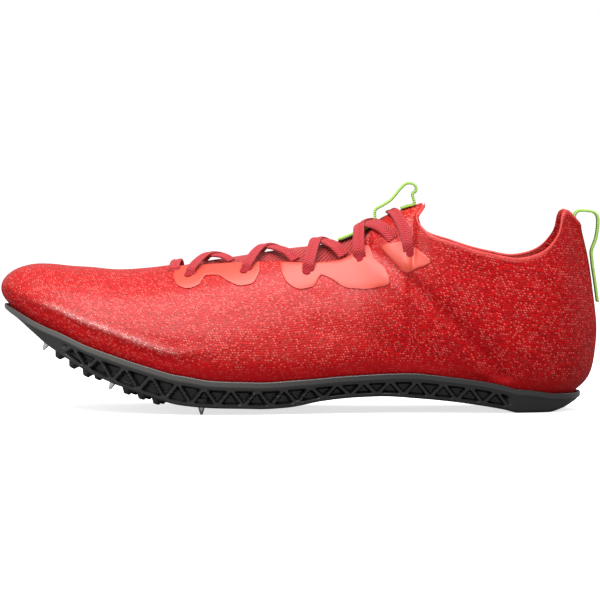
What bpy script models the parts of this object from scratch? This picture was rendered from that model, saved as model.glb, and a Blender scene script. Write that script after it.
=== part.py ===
"""Track spike shoe for the left foot: knit upper, spike plate, insole, tongue, eyestays, laces, pull loops.

Metres, +Z up. The toe points to -X and the lateral side to -Y. The origin is the centre of the flat face
under the heel, which the shoe rests on.
"""

import math
from collections import namedtuple

import bmesh
import bpy
import numpy as np

# Overall sizes
SHOE_LENGTH = 0.285
HEEL_REST_STATION = 0.889
BALL_WIDTH = 0.088
HEEL_WIDTH = 0.061
TONGUE_HEIGHT = 0.0986
HEEL_TAB_HEIGHT = 0.0956

# Plate
TOE_SPRING = 0.047
ARCH_LIFT = 0.0079
PLATE_DEPTH = 0.0125
RIM_UP = 0.0015
RIM_DOWN = 0.0012
RIM_WIDTH = 0.0013
RIM_GAP = 0.0005
SIDE_STEP = 0.0007
SIDE_TAPER = 0.0014
PLATE_EDGE = 0.0012
POCKET_DEPTH = 0.0030
POCKET_PITCH = 0.0125
POCKET_WEB = 0.0016
POCKET_FIRST = 0.115
POCKET_LAST = 0.845
LUG_SIZE = 0.0042
LUG_HEIGHT = 0.0026
LUG_ROOT = 0.0015
REST_FACE_LENGTH = 0.016

# Upper
WALL = 0.0014
FEATHER_RADIUS = 0.0020
MARGIN = 0.0080

# Overlays, tongue and insole
FILM = 0.0006
FILM_DROP = 0.0100
FILM_INSET = 0.0009
THROAT_WIDTH = 0.0180
TAB_FLARE = 0.0045
TAB_FLARE_START = 0.93
TONGUE = 0.0018
TONGUE_LAP = 0.0100
TONGUE_CLEARANCE = 0.0018
TONGUE_FULL_SHARE = 0.60
INSOLE = 0.0030
INSOLE_CLEARANCE = 0.0020
INSOLE_SEAT = 0.0005
UPPER_SEAT = 0.0005

# Laces and webbing
LACE_WIDTH = 0.0050
LACE_THICKNESS = 0.0014
LACE_CLEARANCE = 0.0010
WEBBING_WIDTH = 0.0085
WEBBING = 0.0012
TONGUE_LOOP_LENGTH = 0.0156
HEEL_LOOP_RISE = 0.0056
HEEL_LOOP_STAND = 0.0084
HEEL_LOOP_INSIDE = 0.0110
HEEL_LOOP_OUTSIDE = 0.0380

# Spikes
SPIKE_LENGTH = 0.0062
SPIKE_TIP_RADIUS = 0.0006
SPIKE_ROOT_RADIUS = 0.0021
SPIKE_FLANGE_RADIUS = 0.0031
SPIKE_FLANGE = 0.0010
WELL_CLEARANCE = 0.0012
SOCKET_RADIUS = 0.0047
SOCKET_HEIGHT = 0.0012

# Clearance between neighbouring pieces
GAP = 0.0003

# Sampling
WALL_ROWS = 7
SPIKE_SIDES = 8
HALF_STEPS = (4, 13)

# One row for each section of the upper, from the toe round one side to the heel. foot and top are stations
# along the shoe, 0 at the toe and 1 at the heel. lateral and medial are shares of the local plate width,
# instep of the tongue's height, heel of the heel tab's height, shift of the ball width and spread of the
# heel width. swell and belly, shares of the ball width, push the wall outwards at its foot and below its
# top. climb and hang are the lengths of those two handles as shares of the wall's height, and crown is a
# share of the distance that the wall leans in.
Section = namedtuple(
    "Section", "foot lateral medial top instep heel shift spread swell climb crown belly hang"
)
SECTIONS = (
    Section(0.010, -0.102, 0.102, 0.069, 0.705, 0.000, 0.080, 0.000, 0.098, 0.43, 1.00, 0.000, 0.00),
    Section(0.022, 0.080, 0.267, 0.076, 0.705, 0.000, 0.080, 0.000, 0.095, 0.43, 0.96, 0.000, 0.00),
    Section(0.045, 0.193, 0.347, 0.092, 0.702, 0.000, 0.077, 0.000, 0.085, 0.43, 0.86, 0.000, 0.00),
    Section(0.085, 0.295, 0.409, 0.118, 0.694, 0.000, 0.074, 0.000, 0.078, 0.43, 0.76, 0.000, 0.00),
    Section(0.135, 0.381, 0.455, 0.152, 0.688, 0.000, 0.072, 0.000, 0.074, 0.43, 0.69, 0.000, 0.00),
    Section(0.190, 0.438, 0.477, 0.197, 0.677, 0.000, 0.068, 0.000, 0.072, 0.43, 0.65, 0.000, 0.00),
    Section(0.250, 0.477, 0.489, 0.252, 0.687, 0.000, 0.066, 0.000, 0.070, 0.43, 0.61, 0.000, 0.00),
    Section(0.310, 0.498, 0.483, 0.310, 0.710, 0.000, 0.061, 0.000, 0.068, 0.43, 0.58, 0.000, 0.00),
    Section(0.370, 0.498, 0.449, 0.370, 0.736, 0.000, 0.055, 0.000, 0.066, 0.43, 0.55, 0.000, 0.00),
    Section(0.430, 0.477, 0.403, 0.430, 0.763, 0.000, 0.045, 0.000, 0.064, 0.43, 0.53, 0.000, 0.00),
    Section(0.490, 0.450, 0.363, 0.490, 0.789, 0.000, 0.034, 0.000, 0.062, 0.42, 0.52, 0.000, 0.00),
    Section(0.550, 0.444, 0.352, 0.545, 0.807, 0.000, 0.025, 0.000, 0.060, 0.41, 0.52, 0.000, 0.00),
    Section(0.595, 0.452, 0.362, 0.585, 0.842, 0.000, 0.017, 0.000, 0.058, 0.40, 0.52, 0.000, 0.00),
    Section(0.625, 0.464, 0.375, 0.622, 0.901, 0.000, 0.010, 0.000, 0.056, 0.38, 0.58, 0.000, 0.00),
    Section(0.650, 0.475, 0.388, 0.658, 0.961, 0.000, 0.003, 0.000, 0.055, 0.36, 0.66, 0.000, 0.01),
    Section(0.668, 0.483, 0.399, 0.688, 1.000, 0.000, 0.000, 0.000, 0.055, 0.34, 0.74, 0.000, 0.04),
    Section(0.680, 0.488, 0.407, 0.692, 0.988, 0.000, 0.000, 0.148, 0.056, 0.32, 0.46, 0.030, 0.10),
    Section(0.693, 0.492, 0.416, 0.696, 0.940, 0.000, 0.000, 0.290, 0.058, 0.31, 0.22, 0.042, 0.18),
    Section(0.709, 0.498, 0.425, 0.703, 0.900, 0.000, 0.000, 0.360, 0.060, 0.30, 0.10, 0.052, 0.25),
    Section(0.736, 0.504, 0.440, 0.722, 0.852, 0.000, 0.000, 0.432, 0.064, 0.29, 0.04, 0.058, 0.30),
    Section(0.765, 0.502, 0.449, 0.756, 0.000, 0.845, 0.000, 0.484, 0.068, 0.28, 0.00, 0.060, 0.33),
    Section(0.795, 0.498, 0.457, 0.790, 0.000, 0.811, 0.000, 0.500, 0.073, 0.27, 0.00, 0.060, 0.35),
    Section(0.830, 0.493, 0.464, 0.825, 0.000, 0.786, 0.000, 0.497, 0.079, 0.26, 0.00, 0.062, 0.36),
    Section(0.865, 0.480, 0.459, 0.865, 0.000, 0.768, 0.000, 0.480, 0.087, 0.24, 0.00, 0.066, 0.37),
    Section(0.900, 0.443, 0.430, 0.905, 0.000, 0.801, 0.000, 0.434, 0.098, 0.22, 0.00, 0.075, 0.38),
    Section(0.930, 0.374, 0.366, 0.930, 0.000, 0.881, 0.000, 0.352, 0.118, 0.19, 0.00, 0.087, 0.40),
    Section(0.948, 0.292, 0.287, 0.940, 0.000, 0.978, 0.000, 0.262, 0.138, 0.16, 0.00, 0.094, 0.42),
    Section(0.959, 0.197, 0.193, 0.950, 0.000, 1.000, 0.000, 0.180, 0.154, 0.13, 0.00, 0.097, 0.44),
    Section(0.965, 0.098, 0.098, 0.968, 0.000, 0.948, 0.000, 0.095, 0.162, 0.11, 0.00, 0.098, 0.46),
    Section(0.967, 0.000, 0.000, 0.973, 0.000, 0.934, 0.000, 0.000, 0.164, 0.11, 0.00, 0.098, 0.47),
)
TAB_SECTION = 15

# The plate along the shoe: its underside is the sum of a share of the toe spring and a share of the arch
# lift, and depth is a share of the plate's greatest depth.
Plate = namedtuple("Plate", "station spring arch depth")
PLATE = (
    Plate(-0.020, 1.070, 0.00, 0.16),
    Plate(0.000, 1.010, 0.00, 0.16),
    Plate(0.025, 0.950, 0.00, 0.18),
    Plate(0.055, 0.812, 0.00, 0.34),
    Plate(0.080, 0.690, 0.00, 0.54),
    Plate(0.110, 0.572, 0.00, 0.72),
    Plate(0.150, 0.425, 0.00, 0.86),
    Plate(0.198, 0.298, 0.00, 0.96),
    Plate(0.250, 0.190, 0.00, 0.99),
    Plate(0.306, 0.095, 0.00, 1.01),
    Plate(0.360, 0.066, 0.00, 0.92),
    Plate(0.430, 0.055, 0.00, 0.90),
    Plate(0.480, 0.030, 0.21, 0.90),
    Plate(0.540, 0.000, 0.76, 0.76),
    Plate(0.600, 0.000, 0.96, 0.73),
    Plate(0.640, 0.000, 1.00, 0.75),
    Plate(0.700, 0.000, 0.86, 0.84),
    Plate(0.755, 0.000, 0.67, 0.82),
    Plate(0.800, 0.000, 0.45, 0.82),
    Plate(0.840, 0.000, 0.20, 0.80),
    Plate(0.865, 0.000, 0.00, 0.78),
    Plate(0.915, 0.000, 0.00, 0.63),
    Plate(0.940, 0.000, 0.22, 0.46),
    Plate(0.960, 0.000, 0.52, 0.26),
    Plate(0.985, 0.000, 0.78, 0.13),
    Plate(1.010, 0.000, 0.90, 0.10),
)

# Half width of the throat, a share of its greatest half width, by the station on the ridge.
Throat = namedtuple("Throat", "station share")
THROAT = (
    Throat(0.284, 0.00),
    Throat(0.300, 0.42),
    Throat(0.350, 0.66),
    Throat(0.430, 0.86),
    Throat(0.500, 1.00),
    Throat(0.560, 0.98),
    Throat(0.595, 0.80),
    Throat(0.614, 0.55),
    Throat(0.627, 0.30),
    Throat(0.638, 0.00),
)

# Lower and upper edge of each film overlay, as depths below the throat's edge by the station on that edge.
Scallop = namedtuple("Scallop", "station drop top", defaults=(0.0,))
FRONT_FILM = (
    Scallop(0.295, 0.40),
    Scallop(0.302, 0.78),
    Scallop(0.318, 0.96),
    Scallop(0.334, 0.84),
    Scallop(0.346, 0.42),
    Scallop(0.362, 0.44),
    Scallop(0.380, 0.76),
    Scallop(0.400, 1.00),
    Scallop(0.418, 0.92),
    Scallop(0.430, 0.36),
)
MIDDLE_FILM = (
    Scallop(0.462, 0.30),
    Scallop(0.474, 0.86),
    Scallop(0.496, 1.16),
    Scallop(0.518, 1.04),
    Scallop(0.530, 0.52),
    Scallop(0.546, 0.72),
    Scallop(0.566, 1.20),
    Scallop(0.590, 1.72),
    Scallop(0.608, 2.28, 0.15),
    Scallop(0.620, 2.68, 1.31),
    Scallop(0.640, 3.12, 2.28),
    Scallop(0.652, 3.22, 2.90),
)
FILMS = (("front", FRONT_FILM), ("middle", MIDDLE_FILM))

# The film round the top eyelet, by section number; high and low are shares of the tongue's height.
TopFilm = namedtuple("TopFilm", "station high low")
TOP_FILM = (
    TopFilm(13.30, 0.797, 0.790),
    TopFilm(13.60, 0.806, 0.758),
    TopFilm(14.00, 0.814, 0.722),
    TopFilm(14.50, 0.820, 0.686),
    TopFilm(15.00, 0.806, 0.673),
    TopFilm(16.00, 0.796, 0.680),
    TopFilm(17.00, 0.786, 0.690),
    TopFilm(18.20, 0.762, 0.702),
    TopFilm(18.80, 0.736, 0.720),
)

# Where each lace leaves its eyelet, crosses the ridge and goes under the film on the other side, as stations.
# depth and tuck are the two ends' depths below the throat's edge, as shares of the film's depth.
Crossing = namedtuple("Crossing", "eyelet ridge entry depth tuck")
CROSSINGS = (
    Crossing(0.318, 0.351, 0.386, 0.55, -0.10),
    Crossing(0.404, 0.444, 0.490, 0.55, -0.10),
    Crossing(0.506, 0.531, 0.570, 0.60, -0.10),
    Crossing(0.595, 0.607, 0.656, 0.70, 1.30),
)
# Where the webbing lies along the ridge: on the tongue at 0, over the top lace at 1.
WebbingSeat = namedtuple("WebbingSeat", "station share")
WEBBING_SEAT = (
    WebbingSeat(0.566, 0.00),
    WebbingSeat(0.592, 0.00),
    WebbingSeat(0.624, 0.00),
    WebbingSeat(0.631, 0.50),
    WebbingSeat(0.6375, 1.00),
    WebbingSeat(0.648, 1.06),
)

# The finger loop from the webbing's seat round to the tab, as shares of the loop's length.
LoopPoint = namedtuple("LoopPoint", "run rise")
TONGUE_LOOP = (
    LoopPoint(0.24, 0.17),
    LoopPoint(0.52, 0.50),
    LoopPoint(0.68, 0.64),
    LoopPoint(0.86, 0.65),
    LoopPoint(0.98, 0.56),
    LoopPoint(0.98, 0.42),
    LoopPoint(0.88, 0.31),
)
# Stations where the loop's end lies on the tab.
TAB_SEAT = (0.680, 0.671, 0.663)
FRONT_BAR_STATION = 0.296
FRONT_BAR_DEPTH = 0.30
TOP_EYELET_SECTION = 15.0
TOP_EYELET_DEPTH = 2.55
TOP_BAR_STATION = 0.648

# Spikes: station and inset from the foot outline, height of the tip as a share of the toe spring, and the
# lean in degrees.
Spike = namedtuple("Spike", "name side station inset tip lean")
SPIKES = (
    Spike("lateral_front", -1, 0.057, 0.0075, 0.620, 31),
    Spike("medial_front", 1, 0.064, 0.0075, 0.638, 31),
    Spike("lateral_middle", -1, 0.182, 0.0060, 0.243, 25),
    Spike("medial_middle", 1, 0.168, 0.0060, 0.283, 26),
    Spike("lateral_rear", -1, 0.340, 0.0052, 0.000, 0),
    Spike("medial_rear", 1, 0.294, 0.0052, 0.000, 0),
)

# Teeth under the forefoot: stations of the rows and insets from the foot outline.
LUG_STATIONS = (0.095, 0.120, 0.145, 0.215, 0.240, 0.265)
LUG_INSETS = (0.0055, 0.0190)

# Colours
RED = (0.58, 0.030, 0.035, 1.0)
CORAL = (0.86, 0.24, 0.15, 1.0)
LACE_RED = (0.56, 0.055, 0.065, 1.0)
RIB_RED = (0.72, 0.060, 0.055, 1.0)
LIME = (0.40, 0.72, 0.14, 1.0)
PLATE_GREY = (0.035, 0.034, 0.036, 1.0)
STEEL = (0.55, 0.55, 0.56, 1.0)
INSOLE_GREY = (0.10, 0.10, 0.11, 1.0)

LATERAL = -1
MEDIAL = 1
SIDE_NAMES = {LATERAL: "lateral", MEDIAL: "medial"}
FILM_SEAT = GAP * 2.6
LAST = len(SECTIONS) - 1
LOOP = 2 * LAST
UP = np.array((0.0, 0.0, 1.0))


def clear_scene():
    for obj in list(bpy.data.objects):
        bpy.data.objects.remove(obj, do_unlink=True)


def finish(color, roughness, metallic=0.0):
    """A material of one colour for a piece."""
    def assign(obj):
        material = bpy.data.materials.new(obj.name)
        material.use_nodes = True
        shader = material.node_tree.nodes["Principled BSDF"]
        shader.inputs["Base Color"].default_value = color
        shader.inputs["Roughness"].default_value = roughness
        shader.inputs["Metallic"].default_value = metallic
        obj.data.materials.append(material)
        return obj
    return assign


KNIT = finish(RED, 0.8)
FILM_COAT = finish(CORAL, 0.45)
LACE = finish(LACE_RED, 0.75)
RIB = finish(RIB_RED, 0.85)
WEB = finish(LIME, 0.7)
MOULDED = finish(PLATE_GREY, 0.45)
METAL = finish(STEEL, 0.3, 1.0)
FOAM = finish(INSOLE_GREY, 0.9)


def along(station):
    """X of a station, 0 at the toe and 1 at the heel."""
    return (station - HEEL_REST_STATION) * SHOE_LENGTH


def smoothstep(value):
    value = min(max(value, 0.0), 1.0)
    return value * value * (3.0 - 2.0 * value)


def local_width(station):
    """The width that a section's shares refer to: the ball's in front, the heel's behind."""
    mix = smoothstep((station - 0.45) / 0.30)
    return BALL_WIDTH * (1.0 - mix) + HEEL_WIDTH * mix


def curve_through(a, b, c, d, t):
    """Catmull-Rom between b and c."""
    square = 2 * a - 5 * b + 4 * c - d
    cube = 3 * b - a - 3 * c + d
    return 0.5 * (2 * b + (c - a) * t + square * t ** 2 + cube * t ** 3)


def table_value(rows, column, station):
    """Monotone cubic reading of a table's column at a station."""
    keys = [row.station for row in rows]
    values = [getattr(row, column) for row in rows]
    if station <= keys[0]:
        return values[0]
    if station >= keys[-1]:
        return values[-1]
    i = max(k for k in range(len(keys) - 1) if keys[k] <= station)
    slopes = [(values[k + 1] - values[k]) / (keys[k + 1] - keys[k]) for k in range(len(keys) - 1)]

    def tangent(k):
        if k == 0 or k == len(slopes):
            return slopes[min(k, len(slopes) - 1)]
        before, after = slopes[k - 1], slopes[k]
        return 0.0 if before * after <= 0 else 2 * before * after / (before + after)

    span = keys[i + 1] - keys[i]
    t = (station - keys[i]) / span
    left = (1 + 2 * t) * (1 - t) ** 2 * values[i] + t * (1 - t) ** 2 * span * tangent(i)
    right = t * t * (3 - 2 * t) * values[i + 1] + t * t * (t - 1) * span * tangent(i + 1)
    return left + right


def station_at(x):
    return x / SHOE_LENGTH + HEEL_REST_STATION


def underside(x):
    """Height of the plate's underside; it is flat over the heel's rest face."""
    station = station_at(x)
    if abs(x) <= REST_FACE_LENGTH / 2:
        return 0.0
    spring = table_value(PLATE, "spring", station) * TOE_SPRING
    return spring + table_value(PLATE, "arch", station) * ARCH_LIFT


def underside_slope(x):
    step = 0.002
    return (underside(x + step) - underside(x - step)) / (2 * step)


def depth(x):
    return table_value(PLATE, "depth", station_at(x)) * PLATE_DEPTH


def bed(x):
    """Height of the plate's top, where the upper stands."""
    return underside(x) + depth(x)


def section_controls(index):
    """Numbers that shape one section: foot x and y, top x, y, height and spread, and the wall's handles."""
    index %= LOOP
    row = SECTIONS[index if index <= LAST else LOOP - index]
    side = LATERAL if index <= LAST else MEDIAL
    width = local_width(row.foot)
    half = row.lateral if side == LATERAL else row.medial
    return np.array((
        along(row.foot),
        side * half * width,
        along(row.top),
        row.shift * BALL_WIDTH,
        row.instep * TONGUE_HEIGHT + row.heel * HEEL_TAB_HEIGHT,
        row.spread * HEEL_WIDTH,
        row.swell * BALL_WIDTH,
        row.climb,
        row.crown,
        row.belly * BALL_WIDTH,
        row.hang,
    ))


CONTROLS = [section_controls(index) for index in range(LOOP)]


def controls_at(turn):
    """Section numbers at a turn of 0 at the toe, LAST at the heel and LOOP at the toe again."""
    index = math.floor(turn)
    near = [CONTROLS[(index + k) % LOOP] for k in (-1, 0, 1, 2)]
    return curve_through(*near, turn - index)


def outward(turn):
    """Outward direction of the foot outline, seen from above."""
    step = 0.02
    before, after = controls_at(turn - step), controls_at(turn + step)
    run = after[:2] - before[:2]
    run /= np.linalg.norm(run)
    return np.array((run[1], -run[0], 0.0))


def sampled_sections(first=0.0, last=None):
    """Section numbers that the long pieces share, with half steps along the forefoot and instep."""
    last = float(LAST) if last is None else last
    numbers = [half / 2 for half in range(2 * LAST + 1)]
    kept = [n for n in numbers if n == int(n) or HALF_STEPS[0] < n < HALF_STEPS[1]]
    return [n for n in kept if first <= n <= last]


def side_of(turn):
    return LATERAL if turn % LOOP <= LAST else MEDIAL


def section_number(turn):
    """Place in the table of sections, the same on both sides."""
    turn %= LOOP
    return turn if turn <= LAST else LOOP - turn


def ridge_pitch(turn):
    """Slope of the ridge line along the shoe; level at the toe's end and past the tab."""
    section = section_number(turn)
    if not 0.5 < section < TAB_SECTION:
        return 0.0
    ahead, behind = controls_at(section + 0.2), controls_at(section - 0.2)
    return (ahead[4] - behind[4]) / (ahead[2] - behind[2])


def wall_curve(turn):
    """The four control points of the wall's profile, from its foot to the ridge or the collar."""
    foot_x, foot_y, top_x, ridge, height, spread, swell, climb, crown, belly, hang = controls_at(turn)
    foot = np.array((foot_x, foot_y, bed(foot_x) + UPPER_SEAT + FEATHER_RADIUS))
    top = np.array((top_x, ridge + side_of(turn) * max(spread, 0.0), height))
    out = outward(turn)
    rise = top[2] - foot[2]
    reach = np.linalg.norm((top - foot)[:2])
    pitch = ridge_pitch(turn)
    push = max(crown, 0.0) * reach + belly
    lower = foot + out * swell + UP * climb * rise
    upper = top + out * push + UP * (pitch * out[0] * push - max(hang, 0.0) * rise)
    return foot, lower, upper, top


def tab_flare(turn, height):
    """How far the tip of the tab in front leans back."""
    if section_number(turn) > LAST / 2 + 4:
        return 0.0
    return TAB_FLARE * smoothstep((height / TONGUE_HEIGHT - TAB_FLARE_START) / (1.0 - TAB_FLARE_START))


def wall_point(turn, t):
    a, b, c, d = wall_curve(turn)
    s = 1.0 - t
    point = a * s ** 3 + b * 3 * s * s * t + c * 3 * s * t * t + d * t ** 3
    point[0] += tab_flare(turn, point[2])
    return point


def wall_normal(turn, t):
    """Unit normal of the wall, pointing out of the shoe."""
    turn_step, t_step = 0.05, 0.01
    low, high = max(t - t_step, 0.0), min(t + t_step, 1.0)
    round_run = wall_point(turn + turn_step, t) - wall_point(turn - turn_step, t)
    rise_run = wall_point(turn, high) - wall_point(turn, low)
    normal = np.cross(round_run, rise_run)
    return normal / np.linalg.norm(normal)


def skin_point(turn, t, offset):
    return wall_point(turn, t) + wall_normal(turn, t) * offset


def find(test, low, high):
    """Value between low and high at which the rising test passes zero."""
    for _ in range(40):
        middle = (low + high) / 2
        if test(middle) < 0:
            low = middle
        else:
            high = middle
    return (low + high) / 2


def section_of(station):
    """Section number whose top lies at a station of the ridge."""
    return find(lambda turn: controls_at(turn)[2] - along(station), 0.0, float(TAB_SECTION))


def throat_edge(turn):
    """Share of the wall's profile at which the throat cuts it; 1 where the wall reaches its top."""
    if section_number(turn) >= TAB_SECTION:
        return 1.0
    station = station_at(controls_at(turn)[2])
    half = table_value(THROAT, "share", station) * THROAT_WIDTH
    if half <= 0:
        return 1.0
    ridge = wall_point(turn, 1.0)[1]
    return find(lambda t: half - abs(wall_point(turn, t)[1] - ridge), 0.4, 1.0)


def turn_on(side, section):
    return section if side == LATERAL else LOOP - section


def mesh_from(name, rings, ring_closed, rings_joined=False, capped=False):
    """An object skinned over rings of points, with its doubles merged and its faces pointing out."""
    bm = bmesh.new()
    lines = [[bm.verts.new(point) for point in ring] for ring in rings]
    pairs = list(zip(lines, lines[1:]))
    if rings_joined:
        pairs.append((lines[-1], lines[0]))
    count = len(rings[0])
    for one, two in pairs:
        for k in range(count if ring_closed else count - 1):
            after = (k + 1) % count
            bm.faces.new((one[k], two[k], two[after], one[after]))
    if capped:
        bm.faces.new(lines[0])
        bm.faces.new(reversed(lines[-1]))
    bmesh.ops.remove_doubles(bm, verts=bm.verts, dist=1e-6)
    bmesh.ops.dissolve_degenerate(bm, edges=bm.edges, dist=1e-6)
    bmesh.ops.recalc_face_normals(bm, faces=bm.faces)
    mesh = bpy.data.meshes.new(name)
    bm.to_mesh(mesh)
    bm.free()
    mesh.shade_smooth()
    mesh.set_sharp_from_angle(angle=math.radians(40))
    obj = bpy.data.objects.new(name, mesh)
    bpy.context.collection.objects.link(obj)
    return obj


def thicken(obj, thickness, offset):
    solidify = obj.modifiers.new("wall", "SOLIDIFY")
    solidify.thickness = thickness
    solidify.offset = offset
    solidify.use_even_offset = True
    solidify.use_quality_normals = True
    return obj


def combine(obj, other, operation):
    """A Boolean with a hidden guide."""
    other.hide_render = True
    other.display_type = "WIRE"
    boolean = obj.modifiers.new(other.name, "BOOLEAN")
    boolean.operation = operation
    boolean.object = other
    boolean.use_self = operation == "UNION"
    return obj


def samples(first, last, steps):
    return [first + (last - first) * k / steps for k in range(steps + 1)]


def foot_point(turn, inset, height):
    """A point at an inset from the foot outline, at a height above the plate's bed there."""
    x, y = controls_at(turn)[:2]
    point = np.array((x, y, 0.0)) - outward(turn) * inset
    point[2] = bed(point[0]) + height
    return point


def build_upper():
    """The knit shell: a margin turned under, the feather edge, and the wall up to the throat and collar."""
    rings = []
    sections = sampled_sections()
    for turn in sections + [LOOP - section for section in sections[-2:0:-1]]:
        ring = [foot_point(turn, FEATHER_RADIUS + MARGIN * share, UPPER_SEAT) for share in (1.0, 0.5)]
        for angle in (90, 60, 30):
            turned = math.radians(angle)
            inset = FEATHER_RADIUS * (1 - math.cos(turned))
            ring.append(foot_point(turn, inset, UPPER_SEAT + FEATHER_RADIUS * (1 - math.sin(turned))))
        edge = throat_edge(turn)
        ring += [wall_point(turn, edge * row / WALL_ROWS) for row in range(WALL_ROWS + 1)]
        rings.append(ring)
    upper = mesh_from("upper", rings, ring_closed=False, rings_joined=True)
    return KNIT(thicken(upper, WALL, -1.0))


def tongue_offset(turn, t):
    """Offset of the tongue's face from the wall: lapped under it, and risen to the ridge in the throat."""
    lapped = -(WALL + TONGUE_CLEARANCE)
    edge = throat_edge(turn)
    if edge >= 1.0:
        return lapped
    share = table_value(THROAT, "share", station_at(controls_at(turn)[2]))
    risen = min(1.0, share / TONGUE_FULL_SHARE) * smoothstep((t - edge) / (1.0 - edge))
    return lapped - (lapped + 2 * GAP) * risen


def build_tongue():
    """The ribbed gusset under the throat, lapped under the upper all round it."""
    first, last = section_of(THROAT[0].station) - 1.0, section_of(THROAT[-1].station) + 1.0
    rings = []
    for section in sampled_sections(first, last):
        outline = []
        for side in (LATERAL, MEDIAL):
            turn = turn_on(side, section)
            edge = throat_edge(turn)
            run = np.linalg.norm(wall_point(turn, 1.0) - wall_point(turn, 0.5)) / 0.5
            low = min(edge, 1.0) - TONGUE_LAP / run
            half = [skin_point(turn, t, tongue_offset(turn, t)) for t in samples(low, 1.0, 3)]
            outline.append(half)
        crown = (outline[0][-1] + outline[1][-1]) / 2
        rings.append(outline[0][:-1] + [crown] + outline[1][-2::-1])
    tongue = mesh_from("tongue", rings, ring_closed=False)
    return RIB(thicken(tongue, TONGUE, -1.0))


def film_t(turn, drop):
    """Share of the profile that lies a drop below the throat's edge or the ridge."""
    target = wall_point(turn, throat_edge(turn))[2] - drop
    return find(lambda t: wall_point(turn, t)[2] - target, 0.3, 1.0)


def film_plate(name, sections, side, ends):
    """A thin plate on the upper's own surface; ends gives the shares of the profile that it spans."""
    rings = []
    for section in sections:
        turn = turn_on(side, section)
        levels = samples(*ends(turn, section), 2)
        inner = [skin_point(turn, t, FILM_SEAT) for t in levels]
        outer = [skin_point(turn, t, FILM_SEAT + FILM) for t in reversed(levels)]
        rings.append(inner + outer)
    return FILM_COAT(mesh_from(name, rings, ring_closed=True, capped=True))


def build_film(side, label, outline):
    """One scalloped overlay, from the throat's edge down."""
    def ends(turn, section):
        station = station_at(controls_at(section)[2])
        drop, top = (table_value(outline, column, station) * FILM_DROP for column in ("drop", "top"))
        return film_t(turn, FILM_INSET + top), film_t(turn, FILM_INSET + drop)

    sections = samples(section_of(outline[0].station), section_of(outline[-1].station), 14)
    return film_plate(f"eyestay_{label}_{SIDE_NAMES[side]}", sections, side, ends)


def build_top_film(side):
    """The overlay round the top eyelet, clear of the throat."""
    def ends(turn, section):
        shares = [table_value(TOP_FILM, column, section) for column in ("high", "low")]
        return [find(lambda t: wall_point(turn, t)[2] - share * TONGUE_HEIGHT, 0.3, 1.0) for share in shares]

    sections = samples(TOP_FILM[0].station, TOP_FILM[-1].station, 8)
    return film_plate(f"eyestay_top_{SIDE_NAMES[side]}", sections, side, ends)


def flat_oval(centre, width_axis, thickness_axis, width, thickness):
    """Six points round a flat oval."""
    corners = ((-0.5, 0.0), (-0.32, 0.5), (0.32, 0.5), (0.5, 0.0), (0.32, -0.5), (-0.32, -0.5))
    return [centre + width_axis * width * a + thickness_axis * thickness * b for a, b in corners]


def band(name, centres, normals, width, thickness):
    """A flat band through centres, lying against the surface whose normals are given."""
    rings = []
    for k, centre in enumerate(centres):
        run = centres[min(k + 1, len(centres) - 1)] - centres[max(k - 1, 0)]
        run /= np.linalg.norm(run)
        across = np.cross(run, normals[k])
        across /= np.linalg.norm(across)
        rings.append(flat_oval(centre, across, np.cross(across, run), width, thickness))
    return mesh_from(name, rings, ring_closed=True, capped=True)


LACE_SEAT = FILM_SEAT + FILM + LACE_CLEARANCE + LACE_THICKNESS / 2


def lace_stretch(side, start, end, steps):
    """Centres and normals of a lace on one side, between two places given as section and profile share."""
    stretch = []
    for share in samples(0.0, 1.0, steps):
        turn = turn_on(side, start[0] + (end[0] - start[0]) * share)
        t = start[1] + (end[1] - start[1]) * share
        stretch.append((skin_point(turn, t, LACE_SEAT), wall_normal(turn, t)))
    return stretch


def lace_route(side, crossing):
    """A lace from its eyelet over the ridge to the film's edge on the other side."""
    eyelet, ridge, entry = (section_of(station) for station in crossing[:3])
    start = (eyelet, film_t(turn_on(side, eyelet), crossing.depth * FILM_DROP))
    end = (entry, film_t(turn_on(-side, entry), crossing.tuck * FILM_DROP))
    near = lace_stretch(side, start, (ridge, 1.0), 5)[:-1]
    far = lace_stretch(-side, (ridge, 1.0), end, 4)
    return zip(*(near + far))


def build_crossing(number, crossing):
    """Two laces crossing over the throat, joined where they cross."""
    pieces = []
    for side in (LATERAL, MEDIAL):
        centres, normals = lace_route(side, crossing)
        pieces.append(band(f"lace_crossing_{number}", centres, normals, LACE_WIDTH, LACE_THICKNESS))
    pieces[1].name = f"lace_guide_{number}"
    return LACE(combine(pieces[0], pieces[1], "UNION"))


def build_bar(name, eyelet, depth, ridge):
    """A lace straight across the shoe between the two eyelets of a pair."""
    route = []
    for side in (LATERAL, MEDIAL):
        start = (eyelet, film_t(turn_on(side, eyelet), depth * FILM_DROP))
        half = lace_stretch(side, start, (ridge, 1.0), 5)
        route += half if side == LATERAL else half[-2::-1]
    centres, normals = zip(*route)
    return LACE(band(name, centres, normals, LACE_WIDTH, LACE_THICKNESS))


def ribbon(name, points, width, thickness):
    """Webbing whose edge view, in the plane Y = 0, runs through points."""
    rings = []
    for k, point in enumerate(points):
        run = points[min(k + 1, len(points) - 1)] - points[max(k - 1, 0)]
        run /= np.linalg.norm(run)
        through = np.array((-run[2], 0.0, run[0]))
        across = np.array((0.0, 1.0, 0.0))
        corners = ((-1, -1), (1, -1), (1, 1), (-1, 1))
        rings.append([point + across * a * width / 2 + through * b * thickness / 2 for a, b in corners])
    return mesh_from(name, rings, ring_closed=True, capped=True)


def smooth_path(points, steps):
    """Points on a curve through the given ones."""
    ends = [2 * points[0] - points[1]] + list(points) + [2 * points[-1] - points[-2]]
    path = []
    for k in range(1, len(ends) - 2):
        path += [curve_through(*ends[k - 1:k + 3], step / steps) for step in range(steps)]
    path.append(points[-1])
    return path


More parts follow.
